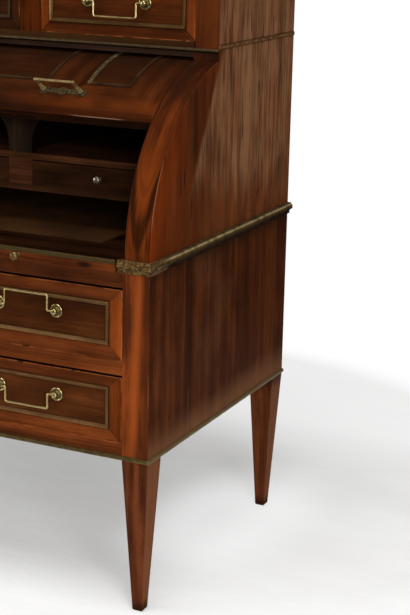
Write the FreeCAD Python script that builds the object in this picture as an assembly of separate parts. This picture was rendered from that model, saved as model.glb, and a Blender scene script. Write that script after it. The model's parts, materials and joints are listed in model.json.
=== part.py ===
import FreeCAD, Part
import math
import os

# A cylinder desk, rebuilt in millimetres with +Z up, X across the front and -Y towards the sitter.
# The origin is on the floor, under the middle of the whole desk.

V = FreeCAD.Vector

# Overall case
WIDTH = 1273.0            # lower case across its outer faces
AXIS_TO_BACK = 317.0      # cylinder's axis to the back face of the case
LEG_HEIGHT = 325.0        # floor to the underside of the case
POST = 57.0               # square corner post, and the leg's size at its top
FOOT = 22.0               # square foot at the floor
FOOT_BEVEL = 2.5          # bevel around the bottom of a foot
PANEL = 20.0              # side panels of the lower case
BACK = 16.0               # back boards

# Heights in the lower case, from the bottom up
BOTTOM_RAIL = 33.0
LOWER_DRAWER = 139.5
MIDDLE_RAIL = 27.5
UPPER_DRAWER = 147.0
FRIEZE = 29.0
SLIDE = 24.0              # thickness of the writing slide
DUST_BOARD = 12.0
GUIDE_HEIGHT = 20.0       # drawer guides stand this high beside the drawers
LEDGE_DROP = 20.0         # ledges under the slide
LEDGE_REACH = 105.0       # from the outer face of the case to the inner edge of a ledge
WAIST_BOARD = 73.0        # fixed boards at each end of the slide

# Mouldings
BASE_BEAD_HEIGHT = 9.0
BASE_BEAD_DEPTH = 5.0
WAIST_HEIGHT = 25.0
WAIST_DEPTH = 12.0
WAIST_LIFT = 1.5          # underside of the waist moulding above the case joint
WAIST_RETURN = 65.5       # front return, from the outer face of the case inwards
TIER_BEAD_HEIGHT = 8.0
TIER_BEAD_DEPTH = 4.0

# Cylinder, cheeks and their grooves
CYLINDER_RADIUS = 360.0   # radius of the cheek's curved front, about the writing level
CHEEK = 55.0              # thickness of a cheek
CHEEK_EDGE = 4.0          # rounding of the cheek's curved edges
SHELL_INSET = 4.0         # shell surface inside the cheek's curve
SHELL = 22.0
LEAD_RAIL = 30.0          # thickness of the rail along the shell's leading edge
LEAD_DEG = 5.0            # degrees
LEAD_BEVEL = 5.0
SHELL_DEG = 82.5          # degrees from leading edge to tail
OPEN_DEG = 44.8           # degrees the leading edge stands open as built
SHELL_END_GAP = 0.6       # shell to cheek, each end
TONGUE = 10.0             # radial thickness of the tongue at each end
TONGUE_REACH = 12.0       # into the groove, from the end of the shell
TONGUE_START_DEG = 4.0    # degrees behind the leading edge
GROOVE_GAP = 0.5          # around the tongue, radially and at the bottom of the groove
GROOVE_START_DEG = 2.5    # degrees above the writing level
GROOVE_END_DEG = 148.0

# Brass frames and bar handles on the cylinder
STRIP = 8.0               # width of a brass frame strip
STRIP_OUT = 3.0
FIELD_START_DEG = 13.5    # degrees from the leading edge to a frame
FIELD_END_DEG = 76.0
END_FIELD_OUTER = 134.0   # end panels, from the outer face of the case
END_FIELD_INNER = 234.0
MIDDLE_FIELD_EDGE = 320.0
BAR_FROM_SIDE = 275.0     # middle of a bar handle, from the outer face of the case
BAR_DEG = 9.0             # degrees behind the leading edge
BAR_SPACING = 84.0
BAR_LENGTH = 90.0
BAR_OUT = 42.5            # shell to the bar, along a post
BAR_LEAN_DEG = 18.0       # posts lean from square to the shell, towards the leading edge
BAR_RADIUS = 2.5
BAR_POST_RADIUS = 3.4
BAR_LOBE = 11.0           # radius of the three lobes of the plate under a bar
BAR_PLATE_WIDTH = 13.0    # plate between its lobes
BAR_PLATE = 2.0

# Upper tier with its row of drawers
TIER_AHEAD = 72.5         # tier front ahead of the cylinder's axis
FLOOR_GAP = 7.0           # cheek's curve to the tier floor
TIER_FLOOR = 20.0
FASCIA = 17.5
FASCIA_GAP = 2.2
TIER_JOINT = 8.0          # cheek's top above the tier floor's underside
TOP_DRAWER = 136.0
END_STILE = 52.0
MIDDLE_STILE = 51.0
STILE_DEPTH = 22.0
TIER_BOARD = 20.0
PARTITION = 15.0
TIER_GUIDE = 15.0
CEILING = 12.0
TOP = 25.0
TOP_OVERHANG = 8.0
SIDE_BEAD_HEIGHT = 7.5    # bead along the foot of the tier's sides
SIDE_BEAD_DEPTH = 2.0

# Pigeonhole unit behind the cylinder
NEST_AHEAD_SHARE = 0.543  # unit front ahead of the cylinder's axis, as a share of its reach
NEST_LIFT_SHARE = 0.282   # space under the unit, as a share of the height inside the shell
NEST_DRAWER_SHARE = 0.204
ARCH_SHARE = 0.78         # rounded upper corners of the bays, as a share of the bays' height
NEST_BOARD = 13.0
NEST_CLEAR = 8.0          # unit to the inside of the shell
NEST_DROP = 12.0          # unit's top below the highest it could be at its front
NEST_BACK = 8.0
CENTRE_BAY = 420.0
PIER = 56.0
PIER_DEPTH = 18.0
PIER_PARTITION = 14.0
END_BRACKET = 10.0

# Writing slide
SLIDE_GAP = 0.75          # slide to waist board, each end
SLIDE_SHORT = 60.0        # slide stops this far ahead of the back boards
LEATHER_SIDE = 165.0      # leather's edge from the outer face of the case
LEATHER_FRONT = 110.0
LEATHER_BACK = 70.0
LEATHER = 1.5
EDGE_STRIP_HEIGHT = 9.0
EDGE_STRIP = 5.0
EDGE_STRIP_STEP = 2.0
SLIDE_KNOB_FROM_SIDE = 288.0
SLIDE_KNOB_RADIUS = 9.5
SLIDE_KNOB_OUT = 24.0
SLIDE_KNOB_DROP = 14.5    # knob's centre below the writing surface

# Drawers
DRAWER_GAP = 1.0          # each side
DRAWER_HEAD = 2.0         # above a drawer front
LONG_HEAD = 4.5           # above the front of a long drawer
DRAWER_FRONT = 22.0
DRAWER_SIDE = 11.0
DRAWER_FLOOR = 8.0
DRAWER_DROP = 12.0        # sides lower than the front
LONG_SHORT = 60.0         # long drawers stop ahead of the back boards
TOP_SHORT = 20.0
NEST_SHORT = 30.0
NEST_DRAWER_FRONT = 12.0
NEST_DRAWER_SIDE = 6.0
NEST_DRAWER_FLOOR = 4.0
NEST_KNOB_RADIUS = 8.5
NEST_KNOB_OUT = 17.0

# Brass frames and bail handles on the drawers
FRAME_OUT = 4.0
LONG_FRAME_SIDE = 29.0    # frame's edge from the drawer opening's side
LONG_FRAME = 86.0         # frame's outer height
TOP_FRAME_SIDE = 21.5
TOP_FRAME = 90.0
LONG_HANDLE_FROM_SIDE = 268.5
LONG_HANDLE_LIFT = 10.0   # rosettes above the middle of the drawer
TOP_HANDLE_LIFT = 2.0
ROSETTE = 14.0            # radius
ROSETTE_SPACING = 131.6
BOSS_RADIUS = 6.0
BOSS_OUT = 14.5
PIN_OUT = 9.0             # bail's pivot in front of the drawer
PIN_GAP = 0.05            # radial clearance of the bail in its boss
PIN_DEPTH = 2.5           # bail's end past the boss axis
PIN_END_GAP = 0.4
WIRE = 2.2                # radius of the bail's rod
BAIL_WIDTH = 102.0
BAIL_DROP = 31.0
BAIL_BEND = 3.6
BAIL_REST_GAP = 0.3       # raised bail to the brass frame behind it

# Derived positions
HALF = WIDTH / 2
DEPTH = CYLINDER_RADIUS + AXIS_TO_BACK
FRONT = -(DEPTH - SLIDE_KNOB_OUT) / 2
REAR = FRONT + DEPTH
INNER_BACK = REAR - BACK
Z_LOWER = LEG_HEIGHT + BOTTOM_RAIL
Z_MIDDLE = Z_LOWER + LOWER_DRAWER
Z_UPPER = Z_MIDDLE + MIDDLE_RAIL
Z_FRIEZE = Z_UPPER + UPPER_DRAWER
Z_SLIDE = Z_FRIEZE + FRIEZE
Z_WRITING = Z_SLIDE + SLIDE
AXIS_Y = FRONT + CYLINDER_RADIUS
TIER_FRONT = AXIS_Y - TIER_AHEAD
Z_TIER = Z_WRITING + CYLINDER_RADIUS + FLOOR_GAP
Z_JOINT = Z_TIER + TIER_JOINT
Z_TOP_DRAWER = Z_TIER + TIER_FLOOR
Z_CEILING = Z_TOP_DRAWER + TOP_DRAWER
Z_TOP = Z_CEILING + CEILING
CHEEK_IN = HALF - CHEEK
SHELL_OUT = CYLINDER_RADIUS - SHELL_INSET
SHELL_IN = SHELL_OUT - SHELL
TONGUE_IN = SHELL_IN + (SHELL - TONGUE) / 2
TONGUE_OUT = TONGUE_IN + TONGUE
TAIL_DEG = OPEN_DEG + SHELL_DEG
NEST_REACH = min(SHELL_IN, SHELL_OUT - LEAD_RAIL) - NEST_CLEAR
NEST_AHEAD = NEST_AHEAD_SHARE * NEST_REACH
NEST_FRONT = AXIS_Y - NEST_AHEAD
NEST_HEIGHT = math.sqrt(NEST_REACH ** 2 - NEST_AHEAD ** 2) - NEST_DROP
NEST_REAR = AXIS_Y + math.sqrt(NEST_REACH ** 2 - NEST_HEIGHT ** 2)
NEST_DRAWER = NEST_DRAWER_SHARE * NEST_HEIGHT
Z_NEST_TOP = Z_WRITING + NEST_HEIGHT
Z_NEST = Z_WRITING + NEST_LIFT_SHARE * NEST_HEIGHT
Z_NEST_DRAWER = Z_NEST + NEST_BOARD
Z_SHELF = Z_NEST_DRAWER + NEST_DRAWER
Z_BAY = Z_SHELF + NEST_BOARD
ARCH = ARCH_SHARE * (Z_NEST_TOP - NEST_BOARD - Z_BAY)
PIER_X = (CENTRE_BAY + PIER) / 2


def block(x0, x1, y0, y1, z0, z1):
    """A box between two corners."""
    return Part.makeBox(x1 - x0, y1 - y0, z1 - z0, V(x0, y0, z0))


def mirrored(shape):
    """The same shape on the other side of the desk's middle plane."""
    return shape.mirror(V(0, 0, 0), V(1, 0, 0))


def pair(shape):
    """A shape and its mirror image, as two solids of one piece."""
    return Part.makeCompound([shape, mirrored(shape)])


def arc(start, middle, end):
    return Part.Arc(start, middle, end).toShape()


def line(start, end):
    return Part.makeLine(start, end)


def prism(edges, direction):
    """A closed outline pushed along a direction."""
    return Part.Face(Part.Wire(edges)).extrude(direction)


def polygon(points):
    return Part.makePolygon(points + points[:1]).Edges


def on_arc(radius, angle, x=0.0):
    """A point about the cylinder's axis, with the angle rising from the front horizontal."""
    a = math.radians(angle)
    return V(x, AXIS_Y - radius * math.cos(a), Z_WRITING + radius * math.sin(a))


def arc_edge(radius, start, end, x=0.0):
    return arc(on_arc(radius, start, x), on_arc(radius, (start + end) / 2, x), on_arc(radius, end, x))


def ring(inner, outer, start, end, x0, x1):
    """A piece of a tube about the cylinder's axis."""
    edges = [
        arc_edge(outer, start, end, x0),
        line(on_arc(outer, end, x0), on_arc(inner, end, x0)),
        arc_edge(inner, end, start, x0),
        line(on_arc(inner, start, x0), on_arc(outer, start, x0)),
    ]
    return prism(edges, V(x1 - x0, 0, 0))


def turned(profile, centre, direction):
    """A turned piece from (radius, height) pairs, standing on a centre along a direction."""
    outline = Part.Face(Part.Wire(polygon([V(r, 0, h) for r, h in profile])))
    solid = outline.revolve(V(0, 0, 0), V(0, 0, 1), 360)
    solid.Placement = FreeCAD.Placement(centre, FreeCAD.Rotation(V(0, 0, 1), direction))
    return solid


def leg(x, y):
    """A corner post with a tapered leg under it."""
    def square(size, z):
        h = size / 2
        corners = ((-1, -1), (1, -1), (1, 1), (-1, 1), (-1, -1))
        return Part.makePolygon([V(x + a * h, y + b * h, z) for a, b in corners])

    bevelled = FOOT - 2 * FOOT_BEVEL
    sections = [(bevelled, 0.0), (FOOT, FOOT_BEVEL), (POST, LEG_HEIGHT), (POST, Z_SLIDE)]
    solids = []
    for (low_size, low_z), (high_size, high_z) in zip(sections, sections[1:]):
        solids.append(Part.makeLoft([square(low_size, low_z), square(high_size, high_z)], True, True))
    return solids[0].multiFuse(solids[1:]).removeSplitter()


def legs(nodes):
    x = HALF - POST / 2
    for row, y in (("front", FRONT + POST / 2), ("back", REAR - POST / 2)):
        nodes[f"leg_{row}_right"] = leg(x, y)
        nodes[f"leg_{row}_left"] = leg(-x, y)


def lower_case(nodes):
    """Panels, rails and boards between the four posts."""
    between = HALF - POST
    inside = HALF - PANEL
    behind = FRONT + POST
    ahead = REAR - POST
    nodes["side_panels"] = pair(block(inside, HALF, behind, ahead, LEG_HEIGHT, Z_SLIDE))
    tongue = HALF - WAIST_BOARD
    nodes["back_lower"] = block(-between, between, INNER_BACK, REAR, LEG_HEIGHT, Z_SLIDE).fuse(
        block(-tongue, tongue, INNER_BACK, REAR, Z_SLIDE, Z_WRITING)
    ).removeSplitter()
    rails = [(LEG_HEIGHT, Z_LOWER), (Z_MIDDLE, Z_UPPER), (Z_FRIEZE, Z_SLIDE)]
    nodes["front_rails"] = Part.makeCompound(
        [block(-between, between, FRONT, behind, low, high) for low, high in rails]
    )
    for name, z in (("bottom_board", Z_LOWER), ("dust_board", Z_UPPER)):
        wide = block(-inside, inside, behind, ahead, z - DUST_BOARD, z)
        rear = block(-between, between, ahead, INNER_BACK, z - DUST_BOARD, z)
        nodes[name] = wide.fuse(rear).removeSplitter()
    guides = [block(between, inside, behind, ahead, z, z + GUIDE_HEIGHT) for z in (Z_LOWER, Z_UPPER)]
    nodes["drawer_guides"] = Part.makeCompound(guides + [mirrored(g) for g in guides])
    ledge = HALF - LEDGE_REACH
    nodes["slide_ledges"] = pair(block(ledge, inside, behind, ahead, Z_SLIDE - LEDGE_DROP, Z_SLIDE))
    nodes["waist_boards"] = pair(block(HALF - WAIST_BOARD, HALF, FRONT, REAR, Z_SLIDE, Z_WRITING))


def bead_along_y(profile, x, y0, y1, z):
    """A moulding on the right side, from (out, up) pairs."""
    return prism(polygon([V(x + out, y0, z + up) for out, up in profile]), V(0, y1 - y0, 0))


def bead_along_x(profile, y, x0, x1, z):
    """A moulding on a front face, from (out, up) pairs."""
    return prism(polygon([V(x0, y - out, z + up) for out, up in profile]), V(x1 - x0, 0, 0))


def half_round(out, rise):
    """Outline of a small bead with a flat back."""
    steps = [math.pi * k / 8 for k in range(9)]
    curve = [(out * (0.35 + 0.65 * math.sin(a)), rise * (0.5 - 0.5 * math.cos(a))) for a in steps]
    return [(0.0, 0.0)] + curve + [(0.0, rise)]


def mouldings(nodes):
    base = half_round(BASE_BEAD_DEPTH, BASE_BEAD_HEIGHT)
    side = bead_along_y(base, HALF, FRONT, REAR, LEG_HEIGHT)
    front = bead_along_x(base, FRONT, -HALF - BASE_BEAD_DEPTH, HALF + BASE_BEAD_DEPTH, LEG_HEIGHT)
    nodes["base_moulding"] = Part.makeCompound([front, side, mirrored(side)])
    o, r = WAIST_DEPTH, WAIST_HEIGHT
    waist = [(0.0, 0.0), (0.4 * o, 0.0), (0.45 * o, 0.2 * r), (0.56 * o, 0.34 * r), (0.84 * o, 0.42 * r)]
    waist += [(o, 0.46 * r), (o, 0.8 * r), (0.9 * o, 0.86 * r), (0.7 * o, 0.88 * r), (0.66 * o, r), (0.0, r)]
    z = Z_SLIDE + WAIST_LIFT
    side = bead_along_y(waist, HALF, FRONT, REAR, z)
    front = bead_along_x(waist, FRONT, HALF - WAIST_RETURN, HALF + WAIST_DEPTH, z)
    nodes["waist_moulding"] = Part.makeCompound([side, front, mirrored(side), mirrored(front)])
    tier = half_round(TIER_BEAD_DEPTH, TIER_BEAD_HEIGHT)
    nodes["tier_moulding"] = bead_along_x(tier, TIER_FRONT, -HALF, HALF, Z_TIER)


def cheek():
    """The right cheek, with the curved groove that the cylinder's tongue runs in."""
    end = math.degrees(math.acos(TIER_AHEAD / CYLINDER_RADIUS))
    corner = on_arc(CYLINDER_RADIUS, end, CHEEK_IN)
    outline = [
        arc_edge(CYLINDER_RADIUS, 0.0, end, CHEEK_IN),
        line(corner, V(CHEEK_IN, TIER_FRONT, Z_JOINT)),
        line(V(CHEEK_IN, TIER_FRONT, Z_JOINT), V(CHEEK_IN, REAR, Z_JOINT)),
        line(V(CHEEK_IN, REAR, Z_JOINT), V(CHEEK_IN, REAR, Z_WRITING)),
        line(V(CHEEK_IN, REAR, Z_WRITING), on_arc(CYLINDER_RADIUS, 0.0, CHEEK_IN)),
    ]
    solid = prism(outline, V(CHEEK, 0, 0))
    curved = [e for e in solid.Edges if hasattr(e.Curve, "Radius")]
    solid = solid.makeFillet(CHEEK_EDGE, curved)
    inner = TONGUE_IN - GROOVE_GAP
    outer = TONGUE_OUT + GROOVE_GAP
    bottom = CHEEK_IN + TONGUE_REACH - SHELL_END_GAP + GROOVE_GAP
    return solid.cut(ring(inner, outer, GROOVE_START_DEG, GROOVE_END_DEG, CHEEK_IN - 1.0, bottom))


def upper_case(nodes):
    """Cheeks, tier, back and top."""
    right = cheek()
    nodes["cheek_right"] = right
    nodes["cheek_left"] = mirrored(right)
    tier_in = HALF - END_STILE
    board_in = HALF - TIER_BOARD
    nodes["back_upper"] = block(-CHEEK_IN, CHEEK_IN, INNER_BACK, REAR, Z_WRITING, Z_JOINT).fuse(
        block(-board_in, board_in, INNER_BACK, REAR, Z_JOINT, Z_TOP)
    ).removeSplitter()
    nodes["tier_floor"] = block(-CHEEK_IN, CHEEK_IN, TIER_FRONT, INNER_BACK, Z_TIER, Z_TOP_DRAWER)
    rim = SHELL_OUT + STRIP_OUT
    z_fascia = Z_WRITING + math.sqrt(rim ** 2 - (TIER_AHEAD - FASCIA) ** 2) + FASCIA_GAP
    nodes["fascia"] = block(-CHEEK_IN, CHEEK_IN, TIER_FRONT, TIER_FRONT + FASCIA, z_fascia, Z_TIER)
    stile_back = TIER_FRONT + STILE_DEPTH
    z_guide = Z_TOP_DRAWER + TIER_GUIDE
    end = block(tier_in, HALF, TIER_FRONT, stile_back, Z_JOINT, Z_TOP).multiFuse([
        block(board_in, HALF, TIER_FRONT, REAR, Z_JOINT, Z_TOP),
        block(tier_in, HALF, TIER_FRONT, INNER_BACK, Z_JOINT, z_guide),
        block(board_in, HALF + SIDE_BEAD_DEPTH, TIER_FRONT, REAR, Z_JOINT, Z_JOINT + SIDE_BEAD_HEIGHT),
    ]).removeSplitter()
    nodes["tier_ends"] = pair(end)
    middle = drawer_row()[0] / 2 + MIDDLE_STILE / 2
    s, p = MIDDLE_STILE / 2, PARTITION / 2
    divider = block(middle - s, middle + s, TIER_FRONT, stile_back, Z_TOP_DRAWER, Z_CEILING).multiFuse([
        block(middle - p, middle + p, TIER_FRONT, INNER_BACK, Z_TOP_DRAWER, Z_CEILING),
        block(middle - s, middle + s, TIER_FRONT, INNER_BACK, Z_TOP_DRAWER, z_guide),
    ]).removeSplitter()
    nodes["tier_dividers"] = pair(divider)
    ceiling = block(-board_in, board_in, stile_back, INNER_BACK, Z_CEILING, Z_TOP)
    nodes["tier_ceiling"] = ceiling.fuse(
        block(-tier_in, tier_in, TIER_FRONT, stile_back, Z_CEILING, Z_TOP)
    ).removeSplitter()
    over = HALF + TOP_OVERHANG
    nodes["top_board"] = block(-over, over, TIER_FRONT - TOP_OVERHANG, REAR, Z_TOP, Z_TOP + TOP)


def drawer_row():
    """Width of a top drawer's opening, and the middles of the three openings."""
    width = (WIDTH - 2 * END_STILE - 2 * MIDDLE_STILE) / 3
    pitch = width + MIDDLE_STILE
    return width, {"left": -pitch, "middle": 0.0, "right": pitch}


def nest(nodes):
    """The pigeonhole unit that hangs between the cheeks above the writing surface."""
    levels = [(Z_NEST, Z_NEST_DRAWER), (Z_SHELF, Z_BAY), (Z_NEST_TOP - NEST_BOARD, Z_NEST_TOP)]
    rear = NEST_REAR - NEST_BACK
    boards = [block(-CHEEK_IN, CHEEK_IN, NEST_FRONT, rear, low, high) for low, high in levels]
    nodes["nest_boards"] = Part.makeCompound(boards)
    nodes["nest_back"] = block(-CHEEK_IN, CHEEK_IN, rear, NEST_REAR, Z_NEST, Z_NEST_TOP)
    h = PIER / 2
    nodes["nest_blocks"] = pair(block(PIER_X - h, PIER_X + h, NEST_FRONT, rear, Z_NEST_DRAWER, Z_SHELF))
    top = Z_NEST_TOP - NEST_BOARD
    spring = top - ARCH
    bend = ARCH * (1 - math.sqrt(0.5))
    rise = ARCH * math.sqrt(0.5)

    def at(x, z):
        return V(x, NEST_FRONT, z)

    foot_r, foot_l = at(PIER_X + h, Z_BAY), at(PIER_X - h, Z_BAY)
    low_r, low_l = at(PIER_X + h, spring), at(PIER_X - h, spring)
    high_r, high_l = at(PIER_X + h + ARCH, top), at(PIER_X - h - ARCH, top)
    pier = prism([
        line(foot_l, foot_r),
        line(foot_r, low_r),
        arc(low_r, at(PIER_X + h + bend, spring + rise), high_r),
        line(high_r, high_l),
        arc(high_l, at(PIER_X - h - bend, spring + rise), low_l),
        line(low_l, foot_l),
    ], V(0, PIER_DEPTH, 0))
    wall = PIER_PARTITION / 2
    pier = pier.fuse(block(PIER_X - wall, PIER_X + wall, NEST_FRONT, rear, Z_BAY, top)).removeSplitter()
    edge = CHEEK_IN - END_BRACKET
    bracket = prism([
        line(at(CHEEK_IN, top), at(CHEEK_IN, Z_BAY)),
        line(at(CHEEK_IN, Z_BAY), at(edge, Z_BAY)),
        line(at(edge, Z_BAY), at(edge, spring)),
        arc(at(edge, spring), at(edge - bend, spring + rise), at(edge - ARCH, top)),
        line(at(edge - ARCH, top), at(CHEEK_IN, top)),
    ], V(0, PIER_DEPTH, 0))
    nodes["nest_arches"] = Part.makeCompound([pier, mirrored(pier), bracket, mirrored(bracket)])


def cylinder(nodes):
    """The curved shell with its tongues, brass frames and bar handles, standing partly open."""
    end = CHEEK_IN - SHELL_END_GAP
    lead = OPEN_DEG
    bevel = math.degrees(LEAD_BEVEL / SHELL_OUT)
    rail = SHELL_OUT - LEAD_RAIL
    step = lead + LEAD_DEG
    outline = [
        line(on_arc(rail, lead, -end), on_arc(SHELL_OUT - LEAD_BEVEL, lead, -end)),
        line(on_arc(SHELL_OUT - LEAD_BEVEL, lead, -end), on_arc(SHELL_OUT, lead + bevel, -end)),
        arc_edge(SHELL_OUT, lead + bevel, TAIL_DEG, -end),
        line(on_arc(SHELL_OUT, TAIL_DEG, -end), on_arc(SHELL_IN, TAIL_DEG, -end)),
        arc_edge(SHELL_IN, TAIL_DEG, step, -end),
        line(on_arc(SHELL_IN, step, -end), on_arc(rail, step, -end)),
        arc_edge(rail, step, lead, -end),
    ]
    tongue = ring(TONGUE_IN, TONGUE_OUT, lead + TONGUE_START_DEG, TAIL_DEG, end, end + TONGUE_REACH)
    shell = prism(outline, V(2 * end, 0, 0)).multiFuse([tongue, mirrored(tongue)]).removeSplitter()
    nodes["cylinder_shell"] = shell
    inner = HALF - END_FIELD_INNER
    outer = HALF - END_FIELD_OUTER
    middle = HALF - MIDDLE_FIELD_EDGE
    side = shell_frame(inner, outer)
    nodes["cylinder_frames"] = Part.makeCompound([side, mirrored(side), shell_frame(-middle, middle)])
    nodes["cylinder_handles"] = pair(bar_handle())


def shell_frame(x0, x1):
    """A brass frame bent over the shell between two positions across."""
    low = OPEN_DEG + FIELD_START_DEG
    high = OPEN_DEG + FIELD_END_DEG
    turn = math.degrees(STRIP / SHELL_OUT)
    rim = SHELL_OUT + STRIP_OUT
    strips = [
        ring(SHELL_OUT, rim, low, high, x0, x0 + STRIP),
        ring(SHELL_OUT, rim, low, high, x1 - STRIP, x1),
        ring(SHELL_OUT, rim, low, low + turn, x0, x1),
        ring(SHELL_OUT, rim, high - turn, high, x0, x1),
    ]
    return strips[0].multiFuse(strips[1:]).removeSplitter()


def bar_handle():
    """A straight bar on two leaning posts that rise from a lobed plate on the shell, on the right."""
    angle = OPEN_DEG + BAR_DEG
    x = HALF - BAR_FROM_SIDE
    half = BAR_SPACING / 2
    square = on_arc(1.0, angle) - on_arc(0.0, angle)
    lean = on_arc(1.0, angle - BAR_LEAN_DEG) - on_arc(0.0, angle - BAR_LEAN_DEG)
    r, h, p, t = BAR_LOBE, BAR_OUT, BAR_POST_RADIUS, BAR_PLATE
    sunk = 1.0
    lobe = [(0.0, 0.0), (r, 0.0), (r, 0.7 * t + sunk), (0.85 * r, 1.2 * t + sunk), (0.0, 1.2 * t + sunk)]
    pieces = [turned(lobe, on_arc(SHELL_OUT - sunk, angle, x + side * half), square) for side in (-1, 0, 1)]
    deep = 3.0
    post = [(0.0, 0.0), (1.7 * p, 0.0), (1.7 * p, 2 * t + deep), (1.35 * p, 0.28 * h + deep)]
    post += [(p, 0.55 * h + deep), (p, h + deep), (0.0, h + deep)]
    for side in (-1, 1):
        pieces.append(turned(post, on_arc(SHELL_OUT, angle, x + side * half) - lean * deep, lean))
    turn = math.degrees(BAR_PLATE_WIDTH / 2 / SHELL_OUT)
    pieces.append(ring(SHELL_OUT, SHELL_OUT + t, angle - turn, angle + turn, x - half, x + half))
    start = on_arc(SHELL_OUT, angle, x - BAR_LENGTH / 2) + lean * BAR_OUT
    pieces.append(Part.makeCylinder(BAR_RADIUS, BAR_LENGTH, start, V(1, 0, 0)))
    handle = pieces[0].multiFuse(pieces[1:])
    bed = ring(SHELL_IN, SHELL_OUT, angle - 6.0, angle + 6.0, x - BAR_LENGTH, x + BAR_LENGTH)
    return handle.cut(bed).removeSplitter()


def slide(nodes):
    """The writing slide with its leather, brass edge and knobs."""
    end = HALF - WAIST_BOARD - SLIDE_GAP
    board = block(-end, end, FRONT, INNER_BACK - SLIDE_SHORT, Z_SLIDE, Z_WRITING)
    edge = HALF - LEATHER_SIDE
    rear = INNER_BACK - SLIDE_SHORT - LEATHER_BACK
    leather = block(-edge, edge, FRONT + LEATHER_FRONT, rear, Z_WRITING - LEATHER, Z_WRITING)
    strip_low = Z_WRITING - EDGE_STRIP_HEIGHT
    strip_back = FRONT - EDGE_STRIP_STEP + EDGE_STRIP
    strip = block(-end, end, FRONT - EDGE_STRIP_STEP, strip_back, strip_low, Z_WRITING)
    nodes["writing_slide"] = board.cut(leather).cut(strip)
    nodes["slide_leather"] = leather
    nodes["slide_strip"] = strip.makeChamfer(EDGE_STRIP_STEP * 0.6, front_edges(strip))
    x = HALF - SLIDE_KNOB_FROM_SIDE
    seat = V(x, FRONT, Z_WRITING - SLIDE_KNOB_DROP)
    knob = turned(knob_profile(SLIDE_KNOB_RADIUS, SLIDE_KNOB_OUT), seat, V(0, -1, 0))
    nodes["slide_knobs"] = pair(knob.cut(strip))


def front_edges(shape):
    """The two long edges at the front of a strip."""
    low = shape.BoundBox.YMin
    edges = []
    for e in shape.Edges:
        box = e.BoundBox
        if box.YMax - low < 1e-6 and box.XLength > 1.0:
            edges.append(e)
    return edges


def knob_profile(radius, out):
    """Outline of a turned knob with a waisted neck."""
    r, h = radius, out
    return [
        (0.0, 0.0), (0.66 * r, 0.0), (0.66 * r, 0.08 * h), (0.36 * r, 0.2 * h), (0.36 * r, 0.38 * h),
        (0.8 * r, 0.5 * h), (r, 0.66 * h), (0.95 * r, 0.8 * h), (0.7 * r, 0.93 * h), (0.3 * r, h), (0.0, h),
    ]


def drawer(x, width, y, rear, z, height, head, front, side, floor, drop):
    """A drawer as one glued piece: front, two sides, back and floor."""
    w = width / 2 - DRAWER_GAP
    face = block(x - w, x + w, y, y + front, z, z + height - head)
    box_top = z + height - drop
    box = block(x - w, x + w, y + front, rear, z, box_top)
    hollow = block(x - w + side, x + w - side, y + front, rear - side, z + floor, box_top + 1.0)
    return face.fuse(box.cut(hollow)).removeSplitter()


def brass_frame(x, width, y, z, height):
    """A flat-backed brass frame on a drawer front."""
    w, h = width / 2, height / 2
    outer = block(x - w, x + w, y - FRAME_OUT, y, z - h, z + h)
    bevel = [e for e in outer.Edges if e.BoundBox.YMax - outer.BoundBox.YMin < 1e-6]
    outer = outer.makeChamfer(FRAME_OUT * 0.45, bevel)
    hole = block(x - w + STRIP, x + w - STRIP, y - FRAME_OUT - 1.0, y + 1.0, z - h + STRIP, z + h - STRIP)
    return outer.cut(hole)


def rosette(x, y, z, inward):
    """A turned rosette with a boss, drilled from its inner side for the bail's end."""
    r, b, h = ROSETTE, BOSS_RADIUS, BOSS_OUT
    profile = [
        (0.0, 0.0), (r, 0.0), (r, 0.14 * h), (0.91 * r, 0.25 * h), (0.8 * r, 0.25 * h), (0.73 * r, 0.18 * h),
        (0.6 * r, 0.18 * h), (0.53 * r, 0.29 * h), (b, 0.36 * h), (b, 0.84 * h), (0.77 * b, 0.95 * h),
        (0.4 * b, h), (0.0, h),
    ]
    solid = turned(profile, V(x, y, z), V(0, -1, 0))
    start = V(x - inward * (PIN_DEPTH + PIN_END_GAP), y - PIN_OUT, z)
    return solid.cut(Part.makeCylinder(WIRE + PIN_GAP, 3 * BOSS_RADIUS, start, V(inward, 0, 0)))


def bail(x, y, z):
    """A bent rod hanging from two rosettes, with its pivot at the given point."""
    tip = ROSETTE_SPACING / 2 + PIN_DEPTH
    arm = BAIL_WIDTH / 2 - WIRE
    bend = BAIL_BEND
    k = bend * (1 - math.sqrt(0.5))

    def at(a, b):
        return V(x + a, y, z + b)

    drop = BAIL_DROP
    edges = [line(at(-tip, 0), at(-arm - bend, 0))]
    edges.append(arc(at(-arm - bend, 0), at(-arm - k, -k), at(-arm, -bend)))
    edges.append(line(at(-arm, -bend), at(-arm, -drop + bend)))
    edges.append(arc(at(-arm, -drop + bend), at(-arm + k, -drop + k), at(-arm + bend, -drop)))
    edges.append(line(at(-arm + bend, -drop), at(arm - bend, -drop)))
    edges.append(arc(at(arm - bend, -drop), at(arm - k, -drop + k), at(arm, -drop + bend)))
    edges.append(line(at(arm, -drop + bend), at(arm, -bend)))
    edges.append(arc(at(arm, -bend), at(arm + k, -k), at(arm + bend, 0)))
    edges.append(line(at(arm + bend, 0), at(tip, 0)))
    section = Part.Wire(Part.makeCircle(WIRE, at(-tip, 0), V(1, 0, 0)))
    return Part.Wire(edges).makePipeShell([section], True, False)


def handle(x, y, z):
    """The two rosettes of a bail handle."""
    half = ROSETTE_SPACING / 2
    return [rosette(x + half, y, z, -1), rosette(x - half, y, z, 1)]


def raised(shape, y, z):
    """A bail swung up and back until it leans on the brass frame."""
    lean = math.degrees(math.asin((PIN_OUT - WIRE - FRAME_OUT - BAIL_REST_GAP) / BAIL_DROP))
    turned_up = shape.copy()
    turned_up.rotate(V(0, y, z), V(1, 0, 0), -180.0 - lean)
    return turned_up


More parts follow.
